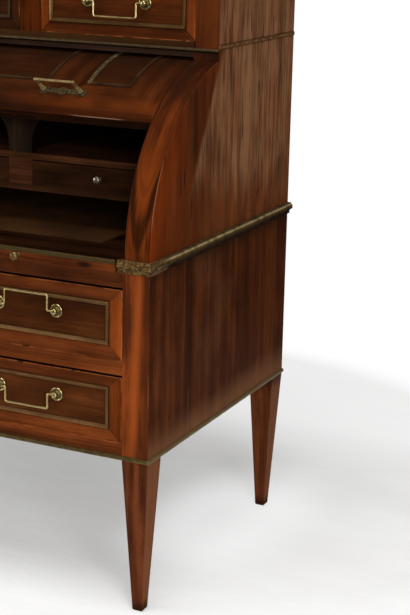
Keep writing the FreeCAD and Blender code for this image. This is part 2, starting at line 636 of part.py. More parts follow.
def long_drawers(nodes):
    """Two drawers across the lower case, each with a brass frame and two bail handles."""
    width = WIDTH - 2 * POST
    rear = INNER_BACK - LONG_SHORT
    pin_y = FRONT - PIN_OUT
    for name, z, height in (("upper", Z_UPPER, UPPER_DRAWER), ("lower", Z_LOWER, LOWER_DRAWER)):
        nodes[f"long_drawer_{name}"] = drawer(
            0.0, width, FRONT, rear, z, height, LONG_HEAD, DRAWER_FRONT, DRAWER_SIDE, DRAWER_FLOOR, DRAWER_DROP
        )
        middle = z + height / 2
        pin_z = middle + LONG_HANDLE_LIFT
        x = HALF - LONG_HANDLE_FROM_SIDE
        brass = [brass_frame(0.0, width - 2 * LONG_FRAME_SIDE, FRONT, middle, LONG_FRAME)]
        brass += handle(x, FRONT, pin_z) + handle(-x, FRONT, pin_z)
        nodes[f"long_mounts_{name}"] = Part.makeCompound(brass)
        for side, at in (("right", x), ("left", -x)):
            shape = bail(at, pin_y, pin_z)
            nodes[f"long_bail_{name}_{side}"] = raised(shape, pin_y, pin_z) if name == "upper" else shape


def top_drawers(nodes):
    """The row of drawers in the tier, each with a brass frame and one bail handle."""
    width, middles = drawer_row()
    middle = Z_TOP_DRAWER + TOP_DRAWER / 2
    pin_z = middle + TOP_HANDLE_LIFT
    for name, x in middles.items():
        nodes[f"top_drawer_{name}"] = drawer(
            x, width, TIER_FRONT, INNER_BACK - TOP_SHORT, Z_TOP_DRAWER, TOP_DRAWER,
            DRAWER_HEAD, DRAWER_FRONT, DRAWER_SIDE, DRAWER_FLOOR, DRAWER_DROP
        )
        frame = brass_frame(x, width - 2 * TOP_FRAME_SIDE, TIER_FRONT, middle, TOP_FRAME)
        nodes[f"top_mounts_{name}"] = Part.makeCompound([frame] + handle(x, TIER_FRONT, pin_z))
        nodes[f"top_bail_{name}"] = bail(x, TIER_FRONT - PIN_OUT, pin_z)


def nest_drawers(nodes):
    """Small drawers under the pigeonholes."""
    side_width = CHEEK_IN - PIER_X - PIER / 2
    side_x = CHEEK_IN - side_width / 2
    rear = NEST_REAR - NEST_BACK - NEST_SHORT
    z = Z_NEST_DRAWER
    bays = (("left", -side_x, side_width), ("middle", 0.0, CENTRE_BAY), ("right", side_x, side_width))
    for name, x, width in bays:
        nodes[f"nest_drawer_{name}"] = drawer(
            x, width, NEST_FRONT, rear, z, NEST_DRAWER,
            DRAWER_HEAD, NEST_DRAWER_FRONT, NEST_DRAWER_SIDE, NEST_DRAWER_FLOOR, NEST_DRAWER_SIDE
        )
        seat = V(x, NEST_FRONT, z + NEST_DRAWER / 2)
        nodes[f"nest_knob_{name}"] = turned(knob_profile(NEST_KNOB_RADIUS, NEST_KNOB_OUT), seat, V(0, -1, 0))


def main():
    nodes = {}
    fixed = (legs, lower_case, mouldings, upper_case, nest)
    moving = (cylinder, slide, long_drawers, top_drawers, nest_drawers)
    for build in fixed + moving:
        build(nodes)
    os.makedirs("parts", exist_ok=True)
    for name, shape in nodes.items():
        shape.exportStep(f"parts/{name}.step")


main()
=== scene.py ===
"""A cylinder desk in figured mahogany with brass trim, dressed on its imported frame."""

import json
import logging
import math
from dataclasses import dataclass
from enum import Enum
from functools import lru_cache
from typing import Callable, Dict, Mapping, Optional, Sequence, Tuple, Union

import bmesh
import bpy
import numpy as np
from mathutils import Matrix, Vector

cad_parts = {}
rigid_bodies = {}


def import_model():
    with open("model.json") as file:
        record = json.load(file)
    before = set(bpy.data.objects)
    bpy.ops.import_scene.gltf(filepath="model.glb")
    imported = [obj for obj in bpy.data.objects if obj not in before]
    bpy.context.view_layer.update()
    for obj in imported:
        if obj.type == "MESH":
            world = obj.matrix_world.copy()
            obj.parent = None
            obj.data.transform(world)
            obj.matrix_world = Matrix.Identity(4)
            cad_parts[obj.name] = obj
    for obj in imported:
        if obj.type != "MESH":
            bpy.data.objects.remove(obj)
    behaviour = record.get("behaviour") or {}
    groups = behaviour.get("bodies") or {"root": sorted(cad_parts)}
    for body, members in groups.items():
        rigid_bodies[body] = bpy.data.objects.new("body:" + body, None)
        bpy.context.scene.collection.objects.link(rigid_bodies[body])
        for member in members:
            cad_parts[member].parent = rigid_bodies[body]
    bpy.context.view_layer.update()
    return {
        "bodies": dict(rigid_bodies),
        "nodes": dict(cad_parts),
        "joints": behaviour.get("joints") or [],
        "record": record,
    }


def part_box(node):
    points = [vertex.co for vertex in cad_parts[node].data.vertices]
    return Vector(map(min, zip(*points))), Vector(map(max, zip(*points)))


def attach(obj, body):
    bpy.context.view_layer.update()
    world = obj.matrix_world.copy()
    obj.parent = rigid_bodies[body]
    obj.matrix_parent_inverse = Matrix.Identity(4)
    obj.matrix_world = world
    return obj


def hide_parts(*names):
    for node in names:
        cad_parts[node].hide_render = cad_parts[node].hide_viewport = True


LOG = logging.getLogger("cylinder_desk")

Colour = Tuple[float, float, float, float]
Triple = Tuple[float, float, float]
Pair = Tuple[float, float]
Key = Union[str, int]

HALF = 0.6365                          # outer face of the case from its middle
FRONT = -0.3265                        # front face of the lower case
REAR = 0.3505                          # back face of the case
TIER_FRONT = -0.039                    # front face of the upper tier
WAIST_LOW, WAIST_HIGH = 0.7025, 0.025  # foot and height of the waist moulding
AXIS_Y, AXIS_Z = 0.0335, 0.725         # axis that the cylinder turns about
SHELL = 0.356                          # outer radius of the cylinder
FRAME_LOW = math.radians(58.3)         # lower ends of the cylinder's frames, as an angle
FRAME_HIGH = math.radians(120.8)       # their upper ends
END_FRAME = (0.4525, 0.05)             # middle and half width of its end frames
MIDDLE_FRAME = (0.0, 0.3165)           # the same for its middle frame
SIDES = ("left", "middle", "right")
SHEEN = 0.003                          # mirror share of old polish


def rgb(red: int, green: int, blue: int) -> Colour:
    """A screen colour as linear light with full alpha.

    Args:
        red: Red of 0 to 255.
        green: Green of 0 to 255.
        blue: Blue of 0 to 255.

    Returns:
        The colour.
    """
    channels = np.array([red, green, blue]) / 255.0
    light = np.where(channels <= 0.04045, channels / 12.92, ((channels + 0.055) / 1.055) ** 2.4)
    return (*[float(v) for v in light], 1.0)


def _operator(operation: str, swapped: bool = False) -> Callable[..., "Signal"]:
    """A method that lays one Math node over a signal and other values.

    Args:
        operation: Blender's name of the operation.
        swapped: Whether the other value comes first, as in a reflected operator.

    Returns:
        The method.
    """
    def method(self: "Signal", *others: "Link") -> "Signal":
        """The result of the operation."""
        terms = (*others, self) if swapped else (self, *others)
        return self.graph.add("ShaderNodeMath", {"operation": operation}, dict(enumerate(terms)))

    return method


class Signal:
    """A socket inside a finish, with ordinary arithmetic on its value.

    The methods least and most give the smaller and the larger of two values, sign gives 1 or -1,
    and angle gives the angle, in radians, whose tangent is this value over another.
    """

    __add__, __radd__ = _operator("ADD"), _operator("ADD", swapped=True)
    __sub__, __rsub__ = _operator("SUBTRACT"), _operator("SUBTRACT", swapped=True)
    __mul__, __rmul__ = _operator("MULTIPLY"), _operator("MULTIPLY", swapped=True)
    __truediv__, __rtruediv__ = _operator("DIVIDE"), _operator("DIVIDE", swapped=True)
    __pow__, __rpow__ = _operator("POWER"), _operator("POWER", swapped=True)
    __abs__, sign = _operator("ABSOLUTE"), _operator("SIGN")
    least, most = _operator("MINIMUM"), _operator("MAXIMUM")
    angle = _operator("ARCTAN2")

    def __init__(self, graph: "Graph", socket: bpy.types.NodeSocket) -> None:
        """Keep the socket and the graph it belongs to."""
        self.graph = graph
        self.socket = socket

    def fade(self, low: float, high: float) -> "Signal":
        """A soft step from 0 at low to 1 at high."""
        settings = {"interpolation_type": "SMOOTHSTEP"}
        return self.graph.add("ShaderNodeMapRange", settings, {0: self, 1: low, 2: high})

    def drop(self, low: float, high: float) -> "Signal":
        """A soft step from 1 at low to 0 at high."""
        return 1.0 - self.fade(low, high)

    def length(self, other: "Signal") -> "Signal":
        """Length of a slope with these two sides."""
        return (self * self + other * other) ** 0.5


Link = Union[Signal, float, int, Tuple[float, ...]]
Settings = Optional[Mapping[str, object]]
Inputs = Optional[Mapping[Key, Link]]


class Graph:
    """The nodes of one material or of the world."""

    def __init__(self, tree: bpy.types.NodeTree) -> None:
        """Start from an empty tree."""
        self.tree = tree
        self.tree.nodes.clear()
        self._kept: Dict[str, Signal] = {}

    def node(self, kind: str, settings: Settings = None, inputs: Inputs = None) -> bpy.types.Node:
        """Make a node of any type.

        Args:
            kind: Blender's name of the node type.
            settings: Attributes to set first; "stops" holds a ramp's (place, colour) pairs.
            inputs: Values or links by socket name or number.

        Returns:
            The new node.
        """
        node = self.tree.nodes.new(kind)
        for key, value in (settings or {}).items():
            if key == "stops":
                self._set_stops(node, value)
            else:
                setattr(node, key, value)
        for key, value in (inputs or {}).items():
            if isinstance(value, Signal):
                self.tree.links.new(value.socket, node.inputs[key])
            else:
                node.inputs[key].default_value = value
        return node

    def add(
        self, kind: str, settings: Settings = None, inputs: Inputs = None, output: Key = 0
    ) -> Signal:
        """One output of a new node of any type."""
        return Signal(self, self.node(kind, settings, inputs).outputs[output])

    def _set_stops(self, node: bpy.types.Node, stops: Sequence[Tuple[float, Colour]]) -> None:
        """Give a ramp its stops.

        Args:
            node: The ramp.
            stops: Places and colours, from the first to the last.
        """
        elements = node.color_ramp.elements
        while len(elements) < len(stops):
            elements.new(1.0)
        for element, (place, colour) in zip(elements, stops):
            element.position = place
            element.color = colour

    def end(self, kind: str, shader: Signal) -> None:
        """Link a shader to a new output node."""
        self.node(kind, None, {"Surface": shader})

    def _coordinate(self, output: str) -> Signal:
        """One output of the coordinates, kept for the next call."""
        if output not in self._kept:
            self._kept[output] = self.add("ShaderNodeTexCoord", output=output)
        return self._kept[output]

    def split(self, output: str) -> Tuple[Signal, Signal, Signal]:
        """Split one output of the coordinates, once.

        Args:
            output: Its name.

        Returns:
            The three parts.
        """
        if output + "0" not in self._kept:
            first = self.add("ShaderNodeSeparateXYZ", None, {0: self._coordinate(output)})
            for number, socket in enumerate(first.socket.node.outputs):
                self._kept[f"{output}{number}"] = Signal(self, socket)
        return self._kept[output + "0"], self._kept[output + "1"], self._kept[output + "2"]

    def axes(self) -> Tuple[Signal, Signal, Signal]:
        """The desk's own coordinates in metres: X across, Y deep and Z up."""
        return self.split("Object")

    def facing(self) -> Tuple[Signal, Signal, Signal]:
        """The three parts of the surface's own normal."""
        return self.split("Normal")

    def sideways(self, low: float = 0.5, high: float = 0.7) -> Signal:
        """1 on faces that look to a side of the desk, 0 on the others."""
        return abs(self.facing()[0]).fade(low, high)

    def reach(self) -> Signal:
        """Distance from the axis that the cylinder turns about."""
        _, y, z = self.axes()
        return (y - AXIS_Y).length(z - AXIS_Z)

    def join(self, x: Link, y: Link, z: Link) -> Signal:
        """A vector from three values."""
        return self.add("ShaderNodeCombineXYZ", None, {0: x, 1: y, 2: z})

    def noise(
        self,
        cells: Union[float, Triple],
        seed: float,
        detail: float = 1.0,
        at: Optional[Signal] = None,
    ) -> Signal:
        """Soft noise of 0 to 1.

        Args:
            cells: Noise cells per metre, the same all ways or along each part of the vector.
            seed: Shifts the pattern.
            detail: Octaves.
            at: Where to read the noise, in metres, if not at the desk's own coordinates.

        Returns:
            The noise value.
        """
        moved = self.add("ShaderNodeMapping", None, {
            "Vector": at or self._coordinate("Object"),
            "Scale": cells if isinstance(cells, tuple) else (cells, cells, cells),
            "Location": (seed, 1.7 * seed, 0.6 * seed),
        })
        inputs = {"Vector": moved, "Scale": 1.0, "Detail": detail}
        return self.add("ShaderNodeTexNoise", None, inputs)

    def pebbles(self, per_metre: float) -> Signal:
        """Distance to the nearest of scattered points, about 0 to 1."""
        inputs = {"Vector": self._coordinate("Object"), "Scale": per_metre}
        return self.add("ShaderNodeTexVoronoi", {"feature": "F1"}, inputs)

    def mix(self, share: Link, first: Link, second: Link) -> Signal:
        """A colour between two, by a share of 0 to 1."""
        settings = {"data_type": "RGBA", "blend_type": "MIX", "clamp_factor": True}
        return self.add("ShaderNodeMix", settings, {0: share, 6: first, 7: second}, output=2)

    def layers(self, colour: Link, *coats: Tuple[Link, Link]) -> Link:
        """Lay coats over a colour, the first one lowest.

        Args:
            colour: What lies under them.
            coats: Pairs of a share of 0 to 1 and a tone.

        Returns:
            The colour on top.
        """
        for share, tone in coats:
            colour = self.mix(share, colour, tone)
        return colour

    def ramp(self, value: Signal, *stops: Tuple[float, Colour]) -> Signal:
        """A colour read off a ramp."""
        return self.add("ShaderNodeValToRGB", {"stops": stops}, {0: value})

    def bump(self, relief: Signal, depth: float, strength: float = 1.0) -> Signal:
        """A normal bent by a relief of 0 to 1 that is some metres deep."""
        inputs = {"Height": relief, "Distance": depth, "Strength": strength}
        return self.add("ShaderNodeBump", None, inputs)

    def surface(
        self,
        colour: Link,
        roughness: Link,
        relief: Optional[Signal] = None,
        depth: float = 0.0002,
        metallic: Link = 0.0,
        gleam: float = 0.5,
    ) -> None:
        """End the graph in one surface.

        Args:
            colour: Base colour.
            roughness: Base roughness.
            relief: Height of 0 to 1 for the bump.
            depth: Height of the relief in metres.
            metallic: Share of bare metal.
            gleam: Strength of the mirror on what is not metal.
        """
        inputs: Dict[Key, Link] = {
            "Base Color": colour, "Roughness": roughness, "Metallic": metallic,
            "Specular IOR Level": gleam,
        }
        if relief is not None:
            inputs["Normal"] = self.bump(relief, depth)
        self.end("ShaderNodeOutputMaterial", self.add("ShaderNodeBsdfPrincipled", None, inputs))


def new_material(name: str) -> Tuple[bpy.types.Material, Graph]:
    """A named material and its empty graph."""
    material = bpy.data.materials.new(name)
    material.use_nodes = True
    return material, Graph(material.node_tree)


def put_on(target: bpy.types.Object, material: bpy.types.Material) -> None:
    """Put one material into every slot of an object.

    Args:
        target: The object.
        material: The material.
    """
    if not target.material_slots:
        target.data.materials.append(material)
    for slot in target.material_slots:
        slot.material = material


class Grain(Enum):
    """Which way the fibres of a board run: the axes along, across and through it."""

    ACROSS = (0, 2, 1)
    DEEP = (1, 0, 2)
    UPRIGHT = (2, 0, 1)


class FrontKind(Enum):
    """The framed drawer fronts that differ in their tones."""

    UPPER = "upper"
    LOWER = "lower"
    TOP = "top"
    TOP_MIDDLE = "top_middle"


@dataclass(frozen=True)
class Palette:
    """Three tones of one timber, from its dark lines to its bright ones."""

    dark: Colour
    mid: Colour
    light: Colour

    def times(self, share: float) -> "Palette":
        """The same timber with every tone lighter or darker by a share."""
        return Palette(*[
            (share * tone[0], share * tone[1], share * tone[2], 1.0)
            for tone in (self.dark, self.mid, self.light)
        ])


@dataclass(frozen=True)
class FrameTones:
    """Rubbed brass on a frame's level runs and on its uprights, and the brown between."""

    run: Colour
    left: Colour
    right: Colour
    brown: Colour


SIDE_TONES = Palette(rgb(36, 17, 7), rgb(62, 29, 12), rgb(90, 46, 21))
POST_TONES = Palette(rgb(48, 21, 9), rgb(75, 35, 16), rgb(136, 65, 26))
FIELD_TONES = Palette(rgb(42, 20, 8), rgb(64, 32, 13), rgb(90, 48, 22))
BAND_TONES = Palette(rgb(68, 30, 10), rgb(98, 45, 15), rgb(130, 63, 23))
RAIL_TONES = Palette(rgb(60, 27, 11), rgb(90, 43, 18), rgb(118, 59, 26))
CURVE_TONES = Palette(rgb(35, 14, 5), rgb(70, 29, 9), rgb(118, 53, 16))
LEG_TONES = Palette(rgb(40, 19, 9), rgb(69, 34, 18), rgb(98, 51, 28))
INSIDE_TONES = Palette(rgb(20, 9, 4), rgb(36, 18, 8), rgb(54, 29, 15))
PIER_TONES = Palette(rgb(19, 12, 8), rgb(31, 21, 14), rgb(43, 32, 23))
TIER_EDGE_TONES = Palette(rgb(39, 22, 10), rgb(50, 29, 13), rgb(62, 38, 18))
FASCIA_TONES = Palette(rgb(28, 18, 13), rgb(40, 26, 19), rgb(50, 34, 25))
PLAIN_TONES = Palette(rgb(96, 68, 40), rgb(138, 104, 66), rgb(172, 138, 94))
TOP_FIELD_TONES = Palette(rgb(42, 19, 8), rgb(70, 32, 10), rgb(108, 48, 15))
TOP_MIDDLE_TONES = Palette(rgb(31, 15, 6), rgb(46, 23, 10), rgb(62, 30, 13))
# field, uprights and rails of each kind of framed drawer
FRONT_TONES = {
    FrontKind.UPPER: (FIELD_TONES.times(0.9), BAND_TONES.times(1.3), RAIL_TONES.times(0.95)),
    FrontKind.LOWER: (FIELD_TONES.times(1.2), BAND_TONES.times(0.72), RAIL_TONES.times(0.9)),
    FrontKind.TOP: (TOP_FIELD_TONES, BAND_TONES.times(1.05), RAIL_TONES.times(0.45)),
    FrontKind.TOP_MIDDLE: (TOP_MIDDLE_TONES, TOP_MIDDLE_TONES, TOP_MIDDLE_TONES),
}
FRAME_TONES = {
    FrontKind.UPPER: FrameTones(
        rgb(130, 97, 57), rgb(106, 73, 41), rgb(106, 73, 41), rgb(76, 52, 27)
    ),
    FrontKind.LOWER: FrameTones(
        rgb(130, 94, 55), rgb(120, 83, 49), rgb(120, 83, 49), rgb(80, 53, 27)
    ),
    # the top drawers' left uprights are lighter than their right ones as a painted highlight
    FrontKind.TOP: FrameTones(
        rgb(96, 69, 36), rgb(140, 108, 61), rgb(90, 63, 29), rgb(60, 41, 18)
    ),
    FrontKind.TOP_MIDDLE: FrameTones(
        rgb(66, 45, 27), rgb(66, 45, 27), rgb(66, 45, 27), rgb(44, 27, 14)
    ),
}
# pale of rubbed edges, partly a painted highlight along arrises and drawer edges
WEAR_AND_HIGHLIGHT = rgb(168, 98, 52)
# painted light on the side faces of the legs
LEG_SIDE_LIGHT = rgb(128, 82, 54)
# painted light on the side runs of the base bead
SIDE_LIT_OLIVE = rgb(100, 80, 52)
# dirt and dark joints, and painted shade in many places
GRIME_AND_SHADE = rgb(22, 13, 8)
# painted shade on undersides, on upward faces in the drawer gaps and on the piers' sides
PAINTED_SHADOW = rgb(7, 4, 3)
# dry bloom of old polish, also the painted floor light low on the case's sides
BLOOM_AND_FLOOR_GLOW = rgb(136, 96, 66)


@dataclass(frozen=True)
class Veneer:
    """A sheet of timber and the way it is figured."""

    tones: Palette
    stripe: float = 0.030
    contrast: float = 0.9
    wander: float = 0.020
    fibre: float = 0.4
    mottle: float = 0.8
    seed: float = 0.0

    def lay(self, along: Signal, across: Signal, deep: Signal) -> Tuple[Signal, Signal]:
        """Lay the sheet over a surface.

        Ribbon stripes and fibres are noise stretched along the grain, on a sheet that sways
        sideways; a mottle crosses them, and short open pores are dark and sunk.

        Args:
            along: Position along the grain in metres.
            across: Position across it on the face.
            deep: Position through the board.

        Returns:
            The colour and the relief.
        """
        graph = along.graph
        sheet = graph.join(along, across, deep)
        sway = graph.noise((1.3, 7.0, 7.0), self.seed, at=sheet) - 0.5
        leaf = graph.join(along, across + sway * self.wander, deep)
        pitch = 1.0 / self.stripe
        ribbon = graph.noise((0.6, pitch, pitch), self.seed + 3.0, 2.0, leaf) - 0.5
        fibre = graph.noise((5.0, 260.0, 260.0), self.seed + 7.0, 2.0, leaf) - 0.5
        mottle = graph.noise((8.0, 20.0, 20.0), self.seed + 11.0, 2.0, sheet) - 0.5
        pore = graph.noise((28.0, 1200.0, 1200.0), self.seed + 17.0, at=leaf).fade(0.34, 0.47)
        tone = 0.5 + ribbon * self.contrast + fibre * self.fibre + mottle * self.mottle
        tones = self.tones
        colour = graph.ramp(tone, (0.2, tones.dark), (0.5, tones.mid), (0.8, tones.light))
        colour = graph.mix((1.0 - pore) * 0.5, colour, tones.dark)
        return colour, pore * 0.6 + (fibre + 0.5) * 0.5

    def tint(self, along: Signal, across: Signal, deep: Signal) -> Signal:
        """The colour alone of the sheet laid over a surface."""
        return self.lay(along, across, deep)[0]


def polish(graph: Graph, colour: Link, relief: Signal, gloss: float, dull: Link = 0.0) -> None:
    """End a timber finish in worn polish: smears of differing gloss over a faint grain relief.

    Args:
        graph: The finish being built.
        colour: Colour of the timber.
        relief: Height of its grain, 0 to 1.
        gloss: Middle roughness.
        dull: Where the polish has gone, 0 to 1.
    """
    smear = graph.noise(7.0, 31.0, 3.0) - 0.5
    fine = graph.noise(90.0, 37.0, 2.0) - 0.5
    roughness = gloss + smear * 0.22 + fine * 0.12 + dull * 0.25
    graph.surface(colour, roughness, relief, 0.00018, gleam=SHEEN)


def light_flank(graph: Graph, colour: Link) -> Link:
    """Light from the floor at the foot of the case's sides, and shade under the waist moulding.

    Args:
        graph: The finish being built.
        colour: Colour of the side.

    Returns:
        The lit colour.
    """
    _, _, z = graph.axes()
    sway = graph.noise((3.0, 3.0, 9.0), 3.0) - 0.5
    floor_glow = (z + sway * 0.03).drop(0.330, 0.405)
    # painted floor light low on the sides, and painted shade under the waist moulding
    return graph.layers(colour, (floor_glow * 0.40, BLOOM_AND_FLOOR_GLOW), (z.fade(0.672, 0.702) * 0.45, GRIME_AND_SHADE))


def mitred(
    field: Signal, level: Signal, upright: Signal, past_side: Signal, past_rail: Signal
) -> Tuple[Signal, Signal, Signal]:
    """Lay a mitred border round a field.

    Args:
        field: Colour inside the border.
        level: Colour of the border above and below the field.
        upright: Colour of the border beside it.
        past_side: How far a point lies beyond the field sideways.
        past_rail: How far it lies beyond the field up or down.

    Returns:
        The colour, nearness to the mitre lines, and how far a point lies beyond the field.
    """
    graph = field.graph
    past = past_side.most(past_rail)
    slope = past_side - past_rail
    border = graph.mix(slope.fade(-0.0004, 0.0004), level, upright)
    mitre = abs(slope).drop(0.0002, 0.0014) * past.fade(0.0, 0.002)
    return graph.mix(past.fade(-0.004, -0.003), field, border), mitre, past


@dataclass(frozen=True)
class Finish:
    """What one material looks like."""

    name: str

    def paint(self, graph: Graph) -> None:
        """Lay the finish.

        Args:
            graph: The material's empty graph.
        """
        raise NotImplementedError(self.name)


@lru_cache(maxsize=None)
def made(finish: Finish) -> bpy.types.Material:
    """The material of a finish, made at its first use."""
    material, graph = new_material(finish.name)
    finish.paint(graph)
    return material


@dataclass(frozen=True)
class BoardFinish(Finish):
    """Plain boards of one timber with the grain one way."""

    veneer: Veneer
    grain: Grain
    gloss: float = 0.36
    dim_above: float = 9.0
    dim_below: float = -9.0
    dark_sides: float = 0.0

    def paint(self, graph: Graph) -> None:
        """Lay the boards, with blotches, darker bands above and below set heights, and painted
        shade on their undersides and, where set, on their side faces.
        """
        z = graph.axes()[2]
        colour, relief = self.veneer.lay(*[graph.axes()[axis] for axis in self.grain.value])
        blotch = graph.noise(4.0, 41.0, 3.0).fade(0.4, 0.7)
        dim = z.fade(self.dim_above, self.dim_above + 0.001)
        dim = dim.most(z.drop(self.dim_below - 0.008, self.dim_below + 0.008))
        # painted shade on faces that look down, and on side faces where that is set
        below = graph.facing()[2].drop(-0.7, -0.5)
        colour = graph.layers(
            colour,
            (blotch * 0.35, self.veneer.tones.dark),
            ((dim * 0.5).most(below * 0.8), GRIME_AND_SHADE),
            (graph.sideways() * self.dark_sides, PAINTED_SHADOW),
        )
        polish(graph, colour, relief, self.gloss)


@dataclass(frozen=True)
class PostFinish(Finish):
    """Corner posts and tapered legs: upright grain, one painted highlight streak, arrises rubbed
    pale and partly painted highlight, painted light and shade on the legs, dark feet.
    """

    name: str = "post_mahogany"
    post: Veneer = Veneer(POST_TONES, stripe=0.022, contrast=0.7, seed=2.0)
    flank: Veneer = Veneer(SIDE_TONES, stripe=0.034, seed=4.0)
    leg: Veneer = Veneer(LEG_TONES, stripe=0.018, contrast=1.3, wander=0.05, seed=5.0)
    streak_x: float = 0.602
    shade_x: float = 0.616
    leg_top: float = 0.322

    def paint(self, graph: Graph) -> None:
        """Lay post, side face and leg, then the painted highlight, painted shade and painted floor
        light, the wear and the dark feet.
        """
        x, y, z = graph.axes()
        side = graph.sideways()
        colour, relief = self.post.lay(z, abs(x), y)
        sway = graph.noise((6.0, 6.0, 3.0), 9.0) - 0.5
        lean = (z - 0.35) * 0.038 - sway * 0.006
        # painted highlight: one bright upright streak down the post's front, stronger higher up;
        # painted shade beside it
        streak = abs(abs(x) - self.streak_x - lean).drop(0.0, 0.0165)
        strength = 0.40 + z.fade(0.33, 0.40) * 0.38
        shade = (abs(x) + sway * 0.01).fade(self.shade_x, self.shade_x + 0.014) * (1.0 - side)
        rub = graph.noise((30.0, 30.0, 12.0), 13.0, 2.0)
        arris = self._arris(graph) * rub.fade(0.5, 0.62)
        foot = (z + (rub - 0.5) * 0.02).drop(0.006, 0.03)
        colour = graph.layers(
            colour,
            (streak * strength * (1.0 - side), POST_TONES.light),
            (shade * 0.85, SIDE_TONES.mid),
            (side * 0.9, light_flank(graph, self.flank.tint(z, y, x))),
            (z.drop(self.leg_top, self.leg_top + 0.004), self._leg(graph, side)),
            # arrises rubbed pale, partly a painted highlight
            (arris * 0.3, WEAR_AND_HIGHLIGHT),
            (foot * 0.75, GRIME_AND_SHADE),
        )
        polish(graph, colour, relief, 0.33, foot)

    def _leg(self, graph: Graph, side: Signal) -> Link:
        """The legs' own grain, with painted light paler below, on the back legs and on the side
        faces, and painted shade under the case behind.

        Args:
            graph: The finish being built.
            side: 1 on faces that look to a side.

        Returns:
            The colour.
        """
        x, y, z = graph.axes()
        behind = y.fade(0.1, 0.2)
        return graph.layers(
            self.leg.tint(z, abs(x), y),
            # painted light: paler low down, on the back legs and on side faces; painted shade at
            # the back legs' top under the case
            ((0.3 - z).most(behind * 0.2), LEG_TONES.light),
            (side * 0.5, LEG_SIDE_LIGHT),
            (z.fade(0.292, 0.320) * behind * 0.6, GRIME_AND_SHADE),
        )

    def _arris(self, graph: Graph) -> Signal:
        """Nearness to the outer upright arrises of the posts."""
        x, y, _ = graph.axes()
        to_front = (y - FRONT).least(REAR - y)
        return (HALF - abs(x)).most(to_front).drop(0.0004, 0.0026)


@dataclass(frozen=True)
class SidePanelFinish(Finish):
    """The lower side panels: dark ribbon mahogany with a pale upright crack."""

    name: str = "side_mahogany"
    veneer: Veneer = Veneer(SIDE_TONES, 0.024, 0.85, 0.03, 0.4, 0.6, 8.0)
    crack_y: float = -0.149
    crack_top: float = 0.42

    def paint(self, graph: Graph) -> None:
        """Lay the panels, lighter to the back and rubbed here and there."""
        x, y, z = graph.axes()
        colour, relief = self.veneer.lay(z, y, x)
        sway = graph.noise((3.0, 3.0, 9.0), 3.0) - 0.5
        crack = abs(y - self.crack_y + sway * 0.004).drop(0.0002, 0.0012)
        crack = crack * z.drop(self.crack_top, self.crack_top + 0.02)
        rub = graph.noise(5.0, 21.0, 3.0).fade(0.5, 0.7)
        colour = graph.layers(
            colour, (y.fade(0.05, 0.33) * 0.35, SIDE_TONES.light), (rub * 0.10, BLOOM_AND_FLOOR_GLOW)
        )
        # over the crack, painted floor light at the foot and painted shade under the waist
        colour = graph.mix(crack * 0.5, light_flank(graph, colour), BLOOM_AND_FLOOR_GLOW)
        polish(graph, colour, relief - crack * 0.6, 0.33, rub * 0.5)


